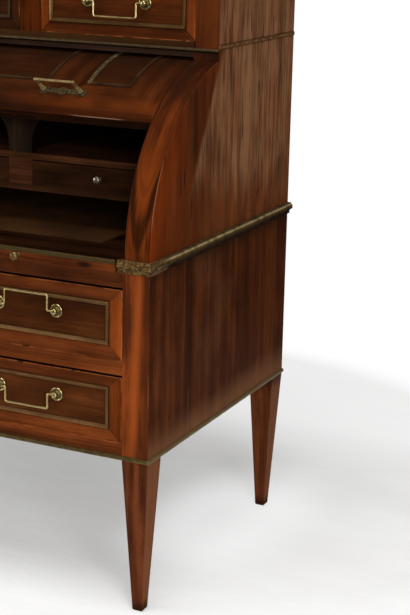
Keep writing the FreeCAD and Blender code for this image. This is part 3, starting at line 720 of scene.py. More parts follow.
@dataclass(frozen=True)
class CheekFinish(Finish):
    """Cheeks and tier ends: upright veneer with dry bloom outside, arched figure on the curve."""

    beaded: bool = False
    joint: float = 1.10375
    joint_half: float = 0.0042
    edge_radius: float = 0.36
    edge_middle: float = 0.611
    flank: Veneer = Veneer(SIDE_TONES.times(1.35), 0.026, 1.5, 0.03, seed=14.0)
    curve: Veneer = Veneer(CURVE_TONES, stripe=0.020, contrast=0.6, seed=19.0)
    inside: Veneer = Veneer(INSIDE_TONES, stripe=0.040, seed=23.0)
    stile: Veneer = Veneer(RAIL_TONES.times(0.65), stripe=0.018, seed=29.0)

    def paint(self, graph: Graph) -> None:
        """Lay the outer face, the inner face and the front edge."""
        x, y, z = graph.axes()
        side = graph.sideways(0.55, 0.75)
        outer, relief = self.flank.lay(z, y, x)
        bloom = self._bloom(graph)
        if not self.beaded:
            outer = graph.mix(0.7 * (1.0 - bloom), outer, self._clear(graph))
        dry = graph.noise((1.0, 170.0, 9.0), 25.0, 2.0)
        dust = graph.noise((1.0, 45.0, 4.0), 26.0, 3.0)
        cloud = graph.noise((1.0, 14.0, 9.0), 24.0, 3.0)
        streaks = (dry * 0.35 + dust * 0.35 + cloud * 0.3).fade(0.38, 0.62)
        shake = graph.noise((1.0, 150.0, 11.0), 27.0).fade(0.66, 0.74)
        outer = graph.layers(outer, (bloom * (0.16 + streaks * 0.70), BLOOM_AND_FLOOR_GLOW), (shake * 0.75, GRIME_AND_SHADE))
        flat = graph.mix(abs(x).fade(0.600, 0.604), self.inside.tint(z, y, x), outer)
        edge = self.stile.tint(z, x, y) if self.beaded else self._figure(graph)
        edge = graph.mix(graph.facing()[1].fade(0.5, 0.7), edge, self.flank.tones.mid)
        colour = self._joint(graph, graph.mix(side, edge, flat), side)
        if not self.beaded:
            # painted shade along the upper curved arris
            colour = graph.mix(self._dull_arris(graph) * 0.4, colour, GRIME_AND_SHADE)
        polish(graph, colour, relief - shake * side * 0.7, 0.30, bloom * side)

    def _bloom(self, graph: Graph) -> Signal:
        """Dry greyish polish behind a slanting line and above a ragged one."""
        _, y, z = graph.axes()
        drift = graph.noise((8.0, 8.0, 5.0), 33.0, 2.0) - 0.5
        ragged = graph.noise((1.0, 55.0, 3.0), 35.0, 2.0) - 0.5
        behind = (y + 0.1346 - (z - 0.885) * 0.511 + drift * 0.03).fade(-0.004, 0.016)
        behind = behind.most(z.fade(1.098, 1.101))
        return behind * (z - 0.825 + y * 0.1 + ragged * 0.16).fade(-0.045, 0.05)

    def _dull_arris(self, graph: Graph) -> Signal:
        """Nearness to the upper part of the curved arris, which is darkened as painted shade."""
        _, y, z = graph.axes()
        high = (z - AXIS_Z).fade(0.14, 0.24) * y.drop(-0.06, -0.04)
        return graph.reach().fade(0.3565, 0.3590) * high * graph.sideways(0.2, 0.4)

    def _clear(self, graph: Graph) -> Link:
        """Colour of the good polish: red by the curved edge, brown further in, one dark streak."""
        _, y, z = graph.axes()
        drift = graph.noise((6.0, 40.0, 5.0), 28.0, 3.0) - 0.5
        good = graph.ramp(
            graph.reach() * 2.0 + drift * 0.4,
            (0.2, rgb(98, 53, 28)), (0.38, rgb(81, 38, 17)),
            (0.58, rgb(90, 38, 12)), (0.74, rgb(118, 47, 11)),
        )
        streak = z.fade(0.85, 0.93) * z.drop(1.01, 1.06)
        streak = streak * abs(y + 0.145 + drift * 0.02).drop(0.006, 0.030)
        back = graph.ramp(drift + 0.5, (0.3, rgb(70, 37, 19)), (0.7, rgb(122, 68, 37)))
        return graph.layers(
            good,
            (z.fade(0.86, 1.04) * 0.65, rgb(48, 24, 10)),
            (streak * 0.8, rgb(34, 20, 7)),
            (y.fade(-0.03, 0.10), back),
        )

    def _figure(self, graph: Graph) -> Link:
        """Nested arches along the curved face, as growth rings cut at a slant, with painted shade
        higher up and painted highlights on its arrises.

        A ring is where the distance along the curve, less a square of the distance across it, is
        even. Painted highlights run along the inner arris, and along part of the outer one.
        """
        x, y, z = graph.axes()
        turn = (z - AXIS_Z).angle(AXIS_Y - y)
        run = turn * self.edge_radius
        across = abs(x) - self.edge_middle
        drift = graph.noise((7.0, 30.0, 1.0), 43.0, 2.0, graph.join(run, across, x)) - 0.5
        ring = run - across * across * 170.0 - across * 0.6 + drift * 0.05
        dark = abs(ring - 0.047).drop(0.012, 0.045)
        late = abs(ring - 0.128).drop(0.003, 0.018)
        tongue = ring.fade(0.075, 0.12) * run.drop(0.14, 0.28)
        inner = abs(x).drop(0.5818, 0.5836) * turn.drop(0.7, 1.0)
        outer = (HALF - abs(x)).drop(0.0004, 0.0022) * turn.fade(0.14, 0.24)
        outer = outer * turn.drop(0.42, 0.62)
        return graph.layers(
            self.curve.tint(run, across, x.sign()),
            (tongue * 0.55, CURVE_TONES.light),
            ((dark * 0.85).most(late * 0.3), CURVE_TONES.dark),
            # painted shade on the upper part of the curve
            (turn.fade(0.60, 1.10) * 0.68, GRIME_AND_SHADE),
            # painted highlights along the arrises
            ((inner * 0.35).most(outer * 0.9), rgb(214, 172, 138)),
        )

    def _joint(self, graph: Graph, colour: Signal, side: Signal) -> Link:
        """The worn bead where the tier stands on the cheeks, between two broken dark seams.

        Args:
            graph: The finish being built.
            colour: What lies under them.
            side: 1 on faces that look to a side.

        Returns:
            The colour on top.
        """
        x, _, z = graph.axes()
        wear = graph.noise(60.0, 51.0, 3.0)
        bare = graph.mix(wear.fade(0.4, 0.6), rgb(84, 56, 31), rgb(106, 76, 47))
        seam = abs(abs(z - self.joint) - self.joint_half).drop(0.0006, 0.0020)
        return graph.layers(
            colour,
            (abs(x).fade(HALF + 0.0002, HALF + 0.0008), bare),
            (seam * side * (0.35 + wear.fade(0.35, 0.6) * 0.35), GRIME_AND_SHADE),
        )


@dataclass(frozen=True)
class DrawerFinish(Finish):
    """A drawer: a mitred border round a darker field in front, plain timber behind."""

    low: Triple
    high: Triple
    front_y: float
    thick: float
    seed: float
    tones: Tuple[Palette, ...]
    middle: Pair = (0.0, 0.0)
    frame_half: Optional[Pair] = None

    def paint(self, graph: Graph) -> None:
        """Lay the front with its edges, rubbed pale with painted highlight on framed fronts and
        dirty on the others, painted shade on its upward faces, and the box behind it.
        """
        x, y, z = graph.axes()
        framed = self.frame_half is not None
        field = Veneer(self.tones[0], 0.050, 0.8, 0.05, 0.35, 0.9, 60.0 + self.seed)
        colour, relief = field.lay(x, z, y)
        if framed:
            colour = self._border(graph, colour)
        to_side = (x - self.low[0]).least(self.high[0] - x)
        to_edge = to_side.least(z - self.low[2]).least(self.high[2] - z)
        rub = graph.noise(25.0, 61.0, 3.0)
        edge = to_edge.drop(0.0005, 0.003) * rub.fade(0.42, 0.6)
        chip = to_edge.drop(0.001, 0.006) * rub.fade(0.66, 0.70)
        plain = Veneer(PLAIN_TONES, 0.035, 0.8, 0.03, 0.6, 0.2, 66.0 + self.seed).tint(y, z, x)
        back = self.front_y + self.thick
        behind = y.fade(back - 0.002, back)
        colour = graph.layers(
            colour,
            # framed fronts: edges rubbed pale, partly a painted highlight; small drawers: edges
            # dirty
            (edge * 0.34, WEAR_AND_HIGHLIGHT if framed else GRIME_AND_SHADE),
            (chip * 0.85, GRIME_AND_SHADE),
            # painted shade on upward faces, in the gaps above the drawers
            (graph.facing()[2].fade(0.5, 0.7) * 0.95, PAINTED_SHADOW),
            (behind, plain),
        )
        polish(graph, colour, relief, 0.31, behind)

    def _border(self, graph: Graph, colour: Signal) -> Link:
        """Lay the mitred border, its mitre lines and the grime beside the brass.

        Args:
            graph: The finish being built.
            colour: Colour of the field.

        Returns:
            The colour on top.
        """
        x, y, z = graph.axes()
        _, band, rail = self.tones
        upright = Veneer(band, 0.026, 0.6, 0.02, 0.3, 0.9, 70.0 + self.seed).tint(z, x, y)
        level = Veneer(rail, 0.022, 0.8, 0.02, 0.3, 1.0, 75.0 + self.seed).tint(x, z, y)
        level = graph.mix((z - self.middle[1]).fade(-0.01, 0.01) * 0.25, level, GRIME_AND_SHADE)
        past_side = abs(x - self.middle[0]) - self.frame_half[0]
        past_rail = abs(z - self.middle[1]) - self.frame_half[1]
        colour, mitre, past = mitred(colour, level, upright, past_side, past_rail)
        dirt = abs(past + 0.004).drop(0.0042, 0.0085)
        return graph.layers(colour, (mitre * 0.55, GRIME_AND_SHADE), (dirt * 0.45, GRIME_AND_SHADE))


@dataclass(frozen=True)
class ShellFinish(Finish):
    """The cylinder: three fields with mitred borders bent over the shell, dark timber inside."""

    name: str = "cylinder_mahogany"
    field: Veneer = Veneer(FIELD_TONES.times(0.68), 0.050, 0.8, 0.05, 0.35, 0.8, 81.0)
    upright: Veneer = Veneer(RAIL_TONES.times(0.42), 0.024, 1.0, 0.02, 0.3, 0.8, 84.0)
    level: Veneer = Veneer(RAIL_TONES.times(0.42), 0.030, 0.8, 0.03, 0.3, 1.0, 87.0)
    inside: Veneer = Veneer(INSIDE_TONES, 0.05, 1.0, 0.03, 0.7, 0.5, 89.0)

    def paint(self, graph: Graph) -> None:
        """Lay the shell, with painted shade under the tier, towards the middle of its lower band
        and on its undersides, and painted highlights on its lower band and along its leading edge.
        """
        x, y, z = graph.axes()
        wide = abs(x)
        degrees = math.radians(1.0) * SHELL
        run = (z - AXIS_Z).angle(AXIS_Y - y) * SHELL
        reach = graph.reach()
        colour, relief = self.field.lay(x, run, reach)
        past_side = (abs(wide - END_FRAME[0]) - END_FRAME[1]).least(wide - MIDDLE_FRAME[1])
        past_rail = abs(run - 0.5 * (FRAME_LOW + FRAME_HIGH) * SHELL)
        past_rail = past_rail - 0.5 * (FRAME_HIGH - FRAME_LOW) * SHELL
        level, upright = self.level.tint(x, run, reach), self.upright.tint(run, x, reach)
        colour, mitre, past = mitred(colour, level, upright, past_side, past_rail)
        dirt = abs(past + 0.004).drop(0.0042, 0.008)
        # painted highlight in patches along the lower band, away from the middle
        painted_glow = abs(run - 50.0 * degrees).drop(0.006, 0.026)
        patch = graph.noise((6.0, 9.0, 9.0), 88.0, 2.0).fade(0.38, 0.62)
        # painted shade under the tier and towards the middle of the lower band
        shade = run.fade(54.0 * degrees, 66.0 * degrees)
        dim = (1.0 - shade) * wide.drop(0.24, 0.44)
        under = run.fade(67.0 * degrees, 77.0 * degrees)
        # painted highlight: a thin pale line along the leading edge
        lead_highlight = run.drop(44.95 * degrees, 45.15 * degrees)
        rub = graph.noise((7.0, 30.0, 30.0), 90.0, 2.0).fade(0.42, 0.58)
        colour = graph.layers(
            colour,
            ((mitre * 0.25).most(dirt * 0.45), GRIME_AND_SHADE),
            (painted_glow * patch * wide.fade(0.15, 0.35) * 0.55, BAND_TONES.mid),
            ((shade * 0.35 + under * 0.35).most(dim * 0.5), GRIME_AND_SHADE),
            (lead_highlight * rub * 0.5, rgb(140, 104, 82)),
            # painted shade on faces that look down
            (graph.facing()[2].drop(-0.6, -0.4) * 0.85, PAINTED_SHADOW),
            (reach.drop(0.349, 0.3505), self.inside.tint(x, run, reach)),
        )
        polish(graph, colour, relief, 0.30)


@dataclass(frozen=True)
class SlideFinish(Finish):
    """The writing slide: dark top, redder front edge with one knot."""

    name: str = "slide_mahogany"
    top: Veneer = Veneer(INSIDE_TONES.times(0.7), 0.035, 1.0, 0.03, 0.4, 0.8, 91.0)
    edge: Veneer = Veneer(RAIL_TONES.times(0.8), 0.012, 1.1, 0.02, 0.5, 1.0, 93.0)
    knot: Pair = (0.495, 0.708)
    knot_half: Pair = (0.022, 0.008)

    def paint(self, graph: Graph) -> None:
        """Lay the top and the front edge."""
        x, y, z = graph.axes()
        colour, relief = self.top.lay(x, y, z)
        off_x = (x - self.knot[0]) / self.knot_half[0]
        off_z = (z - self.knot[1]) / self.knot_half[1]
        near = off_x.length(off_z).drop(0.3, 1.1) * y.drop(FRONT + 0.01, FRONT + 0.03)
        colour = graph.layers(
            colour,
            (y.drop(FRONT + 0.002, FRONT + 0.004), self.edge.tint(x, z, y)),
            (near * 0.9, GRIME_AND_SHADE),
        )
        polish(graph, colour, relief, 0.36)


@dataclass(frozen=True)
class BrassFinish(Finish):
    """Brass with tarnish in patches and in its hollows."""

    bright: Colour
    tarnish: Colour
    age: float
    gloss: float
    dents: float = 0.00005
    close: float = 420.0
    dirty_below: float = -9.0
    dull_sides: float = 0.0

    def paint(self, graph: Graph) -> None:
        """Lay the brass, with painted shade below a level and painted light along the desk's sides,
        where these are set.
        """
        x, _, z = graph.axes()
        broad = graph.noise(45.0, 101.0, 3.0)
        close = graph.noise(self.close, 103.0, 2.0)
        patch = (broad * 0.6 + close * 0.4 + (self.age - 0.5) * 0.3).fade(0.30, 0.74)
        speck = close.fade(0.62, 0.7) * self.age
        # painted shade on the brass below a set height
        foot = z.drop(self.dirty_below, self.dirty_below + 0.0012)
        # painted light on runs along the desk's sides, where set: olive and less metallic
        dull = abs(x).fade(HALF - 0.001, HALF + 0.001) * self.dull_sides
        colour = graph.layers(
            self.bright,
            (patch, self.tarnish),
            ((speck * 0.7).most(foot * 0.85), GRIME_AND_SHADE),
            (dull, SIDE_LIT_OLIVE),
        )
        roughness = self.gloss + patch * 0.24 + (close - 0.5) * 0.15
        metallic = (1.0 - patch * 0.45) * (1.0 - dull)
        graph.surface(colour, roughness, broad * 0.4 + close * 0.6, self.dents, metallic, 0.1)


@dataclass(frozen=True)
class ShellFrameFinish(Finish):
    """The frames bent over the cylinder: dark, with the end frames' inner runs rubbed paler."""

    name: str = "shell_frame_brass"
    inner: float = 0.4065

    def paint(self, graph: Graph) -> None:
        """Lay the dark brass and the rubbed runs."""
        broad = graph.noise(30.0, 191.0, 2.0)
        close = graph.noise(150.0, 193.0, 2.0)
        colour = graph.mix(broad.fade(0.4, 0.6), rgb(44, 29, 18), rgb(57, 39, 25))
        pale = graph.mix(close.fade(0.42, 0.70), rgb(62, 51, 35), rgb(92, 79, 54))
        rubbed = abs(abs(graph.axes()[0]) - self.inner).drop(0.004, 0.0055)
        colour = graph.mix(rubbed * (0.35 + broad), colour, pale)
        graph.surface(colour, 0.5 - rubbed * 0.1, metallic=0.2, gleam=SHEEN)


@dataclass(frozen=True)
class HandleFinish(Finish):
    """The cylinder's handles: a chased plate gone dark under bright posts and a rubbed bar."""

    name: str = "handle_brass"
    plate: float = 0.3598

    def paint(self, graph: Graph) -> None:
        """Lay the plate, and the posts and bar that stand clear of it."""
        out = graph.reach() - self.plate
        clear = out.fade(0.0, 0.0015)
        chase = graph.noise(240.0, 195.0, 2.0)
        dark = graph.mix(chase.fade(0.40, 0.66), rgb(40, 31, 17), rgb(80, 67, 39))
        bright = graph.mix(chase.fade(0.4, 0.7), rgb(162, 138, 94), rgb(122, 100, 64))
        neck = out.fade(0.018, 0.025) * out.drop(0.0355, 0.0375)
        bright = graph.mix(neck * 0.6, bright, dark)
        graph.surface(
            graph.mix(clear, dark, bright), 0.42 - clear * 0.14, chase * (1.0 - clear), 0.0002,
            metallic=0.3 + clear * 0.2, gleam=0.1,
        )


@dataclass(frozen=True)
class WaistFinish(Finish):
    """The waist moulding: stamped and rough in front; behind, plain, with a painted highlight line
    and painted shade by height.
    """

    name: str = "waist_brass"

    def paint(self, graph: Graph) -> None:
        """Lay the plain run by height, with a painted highlight line and painted shade on its lower
        hollow and top ledge, and the stamped corner in flecks.
        """
        _, y, z = graph.axes()
        # painted light by height: shaded lower hollow, bright highlight line, darker top ledge
        plain = graph.ramp(
            (z - WAIST_LOW) / WAIST_HIGH,
            (0.0, rgb(34, 22, 13)), (0.50, rgb(44, 30, 17)), (0.62, rgb(64, 48, 29)),
            (0.78, rgb(80, 64, 40)), (0.86, rgb(146, 126, 88)), (0.93, rgb(112, 94, 63)),
            (0.96, rgb(70, 55, 34)),
        )
        fleck = graph.noise(190.0, 161.0, 3.0)
        broad = graph.noise(40.0, 163.0, 2.0)
        dirt = broad.fade(0.42, 0.62)
        stamped = graph.ramp(
            fleck, (0.34, rgb(54, 39, 22)), (0.50, rgb(78, 58, 33)), (0.66, rgb(112, 88, 53))
        )
        front = (y + (broad - 0.5) * 0.04).drop(FRONT + 0.03, FRONT + 0.075)
        colour = graph.layers(plain, (dirt * 0.45, GRIME_AND_SHADE), (front, stamped))
        graph.surface(colour, 0.38 + dirt * 0.2, fleck * front, 0.0004, front * 0.25, SHEEN)


@dataclass(frozen=True)
class FrameFinish(Finish):
    """A drawer's reeded frame: rubbed along the outer bead, brown in the slope inside it, with
    painted shade along its edges.
    """

    middle: Pair
    half: Pair
    tones: FrameTones

    def paint(self, graph: Graph) -> None:
        """Lay the runs and the uprights."""
        x, _, z = graph.axes()
        tones = self.tones
        beside = abs(x - self.middle[0]) - self.half[0]
        over = abs(z - self.middle[1]) - self.half[1]
        past = beside.most(over)
        uprights = graph.mix((x - self.middle[0]).fade(-0.01, 0.01), tones.left, tones.right)
        bright = graph.mix((beside - over).fade(-0.001, 0.001), tones.run, uprights)
        bead = past.fade(-0.0036, -0.0022)
        close = graph.noise(160.0, 183.0, 2.0) - 0.5
        rubbed = (0.15 + bead * 0.6) + (graph.noise(28.0, 181.0, 3.0) - 0.5) * 0.9 + close * 0.3
        # painted shade along both edges of the frame, where it meets the wood
        edge = abs(past + 0.004).fade(0.0031, 0.0039)
        colour = graph.layers(tones.brown, (rubbed, bright), (edge * 0.6, GRIME_AND_SHADE))
        roughness = 0.46 - bead * 0.12 + close * 0.12
        graph.surface(colour, roughness, metallic=0.3 + bead * 0.4, gleam=0.05)


@dataclass(frozen=True)
class RosetteFinish(Finish):
    """Turned brass, with dirt left in the hollow round each boss."""

    middles: Tuple[float, ...]
    height: float
    radius: float

    def paint(self, graph: Graph) -> None:
        """Lay the brass, by the share of the radius of the nearest rosette."""
        x, _, z = graph.axes()
        over = abs(x - self.middles[0])
        for middle in self.middles[1:]:
            over = over.least(abs(x - middle))
        share = over.length(z - self.height) / self.radius
        hollow = share.fade(0.34, 0.50) * share.drop(0.74, 0.84)
        stain = graph.noise(220.0, 171.0, 2.0)
        colour = graph.mix(stain.fade(0.4, 0.7), rgb(196, 174, 116), rgb(150, 128, 76))
        colour = graph.mix(hollow * 0.85, colour, rgb(44, 37, 18))
        roughness = 0.28 + hollow * 0.2 + (stain - 0.5) * 0.1
        graph.surface(colour, roughness, metallic=1.0 - hollow * 0.2)


@dataclass(frozen=True)
class LeatherFinish(Finish):
    """Old dark writing leather with a fine pebble grain, rubbed in the middle."""

    name: str = "writing_leather"

    def paint(self, graph: Graph) -> None:
        """Lay the leather, with its dark rim and creases."""
        x, y, _ = graph.axes()
        broad = graph.noise(9.0, 111.0, 4.0)
        colour = graph.ramp(broad, (0.3, rgb(42, 25, 13)), (0.7, rgb(64, 40, 20)))
        use = abs(x).drop(0.1, 0.42) * broad.fade(0.4, 0.65)
        rim = abs(x).fade(0.462, 0.4705).most(abs(y + 0.006).fade(0.201, 0.2095))
        colour = graph.layers(colour, (use * 0.35, rgb(78, 48, 24)), (rim * 0.7, GRIME_AND_SHADE))
        crease = graph.noise((60.0, 20.0, 20.0), 117.0, 3.0)
        relief = (1.0 - graph.pebbles(900.0)) * 0.6 + crease * 0.4
        graph.surface(colour, 0.5 - use * 0.12 + (broad - 0.5) * 0.2, relief, 0.00025, gleam=0.04)


SHARP = math.radians(38.0)             # edges bent more than this stay sharp
# a frame's reeded section: how far each point lies inside its outer edge, and how high
INSET, RISE = 0.001 * np.array([
    (0.0, 0.0), (0.0, 2.6), (0.4, 3.4), (1.1, 3.9), (1.9, 3.9), (2.5, 3.5), (2.8, 3.0), (3.5, 2.6),
    (5.0, 2.0), (6.5, 1.5), (7.0, 1.5), (7.6, 1.2), (8.0, 0.7), (8.0, 0.0),
]).T
# the waist moulding's section, as shares of how far out it stands and of its height
WAIST_OUTLINE = np.array([
    (0.0, 0.0), (0.4, 0.0), (0.42, 0.1), (0.45, 0.2), (0.49, 0.28), (0.56, 0.34), (0.68, 0.385),
    (0.84, 0.42), (0.97, 0.45), (1.0, 0.47), (1.0, 0.52), (1.0, 0.57), (1.0, 0.62), (1.0, 0.67),
    (1.0, 0.72), (1.0, 0.77), (0.98, 0.80), (0.9, 0.855), (0.8, 0.875), (0.7, 0.88), (0.68, 0.94),
    (0.66, 0.99), (0.64, 1.0), (0.3, 1.0), (0.0, 1.0),
])
# rim, hollow, inner ring and domed boss of a rosette, as shares of its radius and height
ROSETTE = (
    (1.0, 0.0), (1.0, 0.10), (0.97, 0.19), (0.90, 0.25), (0.82, 0.245), (0.75, 0.18), (0.66, 0.16),
    (0.59, 0.21), (0.53, 0.29), (0.46, 0.35), (0.43, 0.45), (0.43, 0.72), (0.41, 0.84),
    (0.33, 0.94), (0.17, 0.99), (0.0, 1.0),
)
# collar, waisted neck and flattened ball of a pull, as shares of its radius and length
PULL = (
    (0.55, 0.0), (0.55, 0.05), (0.50, 0.10), (0.38, 0.17), (0.33, 0.27), (0.38, 0.38), (0.62, 0.44),
    (0.86, 0.52), (0.99, 0.64), (0.96, 0.78), (0.78, 0.90), (0.45, 0.98), (0.0, 1.0),
)


def placed(name: str, mesh: bpy.types.Mesh) -> bpy.types.Object:
    """Make a mesh a piece, smooth but for its sharp edges.

    Args:
        name: Name of the new piece.
        mesh: Its mesh.

    Returns:
        The new object, at the origin.
    """
    mesh.shade_smooth()
    mesh.set_sharp_from_angle(angle=SHARP)
    piece = bpy.data.objects.new(name, mesh)
    bpy.context.scene.collection.objects.link(piece)
    return piece


def skin(
    name: str,
    points: np.ndarray,
    wrap_rows: bool = False,
    wrap_columns: bool = False,
    cap_rows: bool = False,
    fill: bool = False,
) -> bpy.types.Object:
    """Skin a grid of points with quads.

    Args:
        name: Name of the new piece.
        points: Array of rows by columns by 3, in metres.
        wrap_rows: Join the last row to the first.
        wrap_columns: Join the last column to the first.
        cap_rows: Close the first and the last row with one face each.
        fill: Close what is still open.

    Returns:
        The new object, at the origin, with doubles merged and faces outwards.
    """
    rows, columns = points.shape[:2]
    i = np.arange(rows if wrap_rows else rows - 1)[:, None]
    j = np.arange(columns if wrap_columns else columns - 1)[None, :]
    nexti, nextj = (i + 1) % rows, (j + 1) % columns
    corners = [i * columns + j, i * columns + nextj, nexti * columns + nextj, nexti * columns + j]
    faces = np.stack(np.broadcast_arrays(*corners), axis=-1).reshape(-1, 4).tolist()
    if cap_rows:
        faces += [list(range(columns)), list(range((rows - 1) * columns, rows * columns))]
    mesh = bpy.data.meshes.new(name)
    mesh.from_pydata(points.reshape(-1, 3).tolist(), [], faces)
    shell = bmesh.new()
    shell.from_mesh(mesh)
    bmesh.ops.remove_doubles(shell, verts=shell.verts, dist=1e-6)
    if fill:
        bmesh.ops.holes_fill(shell, edges=shell.edges, sides=0)
    bmesh.ops.recalc_face_normals(shell, faces=shell.faces)
    shell.to_mesh(mesh)
    shell.free()
    return placed(name, mesh)


def merged(name: str, pieces: Sequence[bpy.types.Object]) -> bpy.types.Object:
    """Join new pieces into one.

    Args:
        name: Name of the whole.
        pieces: The pieces, which are used up.

    Returns:
        The new object.
    """
    shell = bmesh.new()
    for piece in pieces:
        shell.from_mesh(piece.data)
    mesh = bpy.data.meshes.new(name)
    shell.to_mesh(mesh)
    shell.free()
    for piece in pieces:
        bpy.data.meshes.remove(piece.data)
    return placed(name, mesh)


def rounded(profile: Sequence[Pair], steps: int) -> np.ndarray:
    """A smooth line through a profile's points: cubics whose slopes come from the points around.

    Args:
        profile: The points.
        steps: Points of the line from one of them to the next.

    Returns:
        Array of points by 2.
    """
    base = np.array(profile, float)
    padded = np.vstack([2 * base[0] - base[1], base, 2 * base[-1] - base[-2]])
    a, b, c, d = padded[:-3], padded[1:-2], padded[2:-1], padded[3:]
    t = np.linspace(0.0, 1.0, steps, endpoint=False)[None, :, None]
    curve = 0.5 * (
        2 * b[:, None] + (c - a)[:, None] * t + (2 * a - 5 * b + 4 * c - d)[:, None] * t ** 2
        + (3 * b - a - 3 * c + d)[:, None] * t ** 3
    )
    return np.vstack([curve.reshape(-1, 2), base[-1:]])


def turned(
    name: str, outline: Sequence[Pair], radius: float, length: float, seat: Triple, around: int = 48
) -> bpy.types.Object:
    """A turned piece that stands straight out of the front: an outline carried round its axis.

    Args:
        name: Name of the new piece.
        outline: Shares of radius and length, from the rim of its foot to the axis at its tip.
        radius: Largest radius in metres.
        length: Length in metres.
        seat: Foot of the axis.
        around: Steps round the axis.

    Returns:
        The new object.
    """
    shape = np.clip(np.vstack([[0.0, 0.0], rounded(outline, 3)]), 0.0, 1.0)
    reach, height = shape[:, :1] * radius, shape[:, 1:] * length
    angle = np.linspace(0.0, 2 * np.pi, around, endpoint=False)[None]
    x = seat[0] - reach * np.sin(angle)
    y = np.broadcast_to(seat[1] - height, x.shape)
    z = seat[2] + reach * np.cos(angle)
    return skin(name, np.stack([x, y, z], axis=-1), wrap_columns=True)


def reeded(half: Pair, steps: int) -> np.ndarray:
    """The reeded section carried round a rectangle with square corners.

    Args:
        half: Half of the outer width and of the outer height.
        steps: Points along an upright side; a level side has two.

    Returns:
        Array of points round the rectangle by points of the section by 2.
    """
    level = np.linspace(-1.0, 1.0, 2, endpoint=False)
    upright = np.linspace(-1.0, 1.0, steps, endpoint=False)
    u = np.concatenate([level, np.ones(steps), -level, -np.ones(steps)])
    v = np.concatenate([-np.ones(2), upright, np.ones(2), -upright])
    return np.stack([u[:, None] * (half[0] - INSET), v[:, None] * (half[1] - INSET)], axis=-1)


@dataclass
class DressedPiece:
    """Puts finishes and new pieces onto the desk, and reports each one."""

    nodes: Mapping[str, bpy.types.Object]

    def dress(self, finish: Finish, *names: str) -> None:
        """Give CAD nodes a finish.

        Args:
            finish: The finish.
            names: The nodes that take it.
        """
        for name in names:
            put_on(self.nodes[name], made(finish))
            LOG.info("%s: %s", name, finish.name)

    def settle(
        self, piece: bpy.types.Object, finish: Finish, body: str, slot: str, *nodes: str
    ) -> None:
        """Finish a new piece and let it ride on a body, in place of CAD nodes.

        Args:
            piece: The new piece.
            finish: The finish it takes.
            body: The body that carries it.
            slot: The record's material slot; not used.
            nodes: CAD nodes that it stands for.
        """
        put_on(piece, made(finish))
        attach(piece, body)
        if nodes:
            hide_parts(*nodes)
        LOG.info("%s: %s on %s", piece.name, finish.name, body)


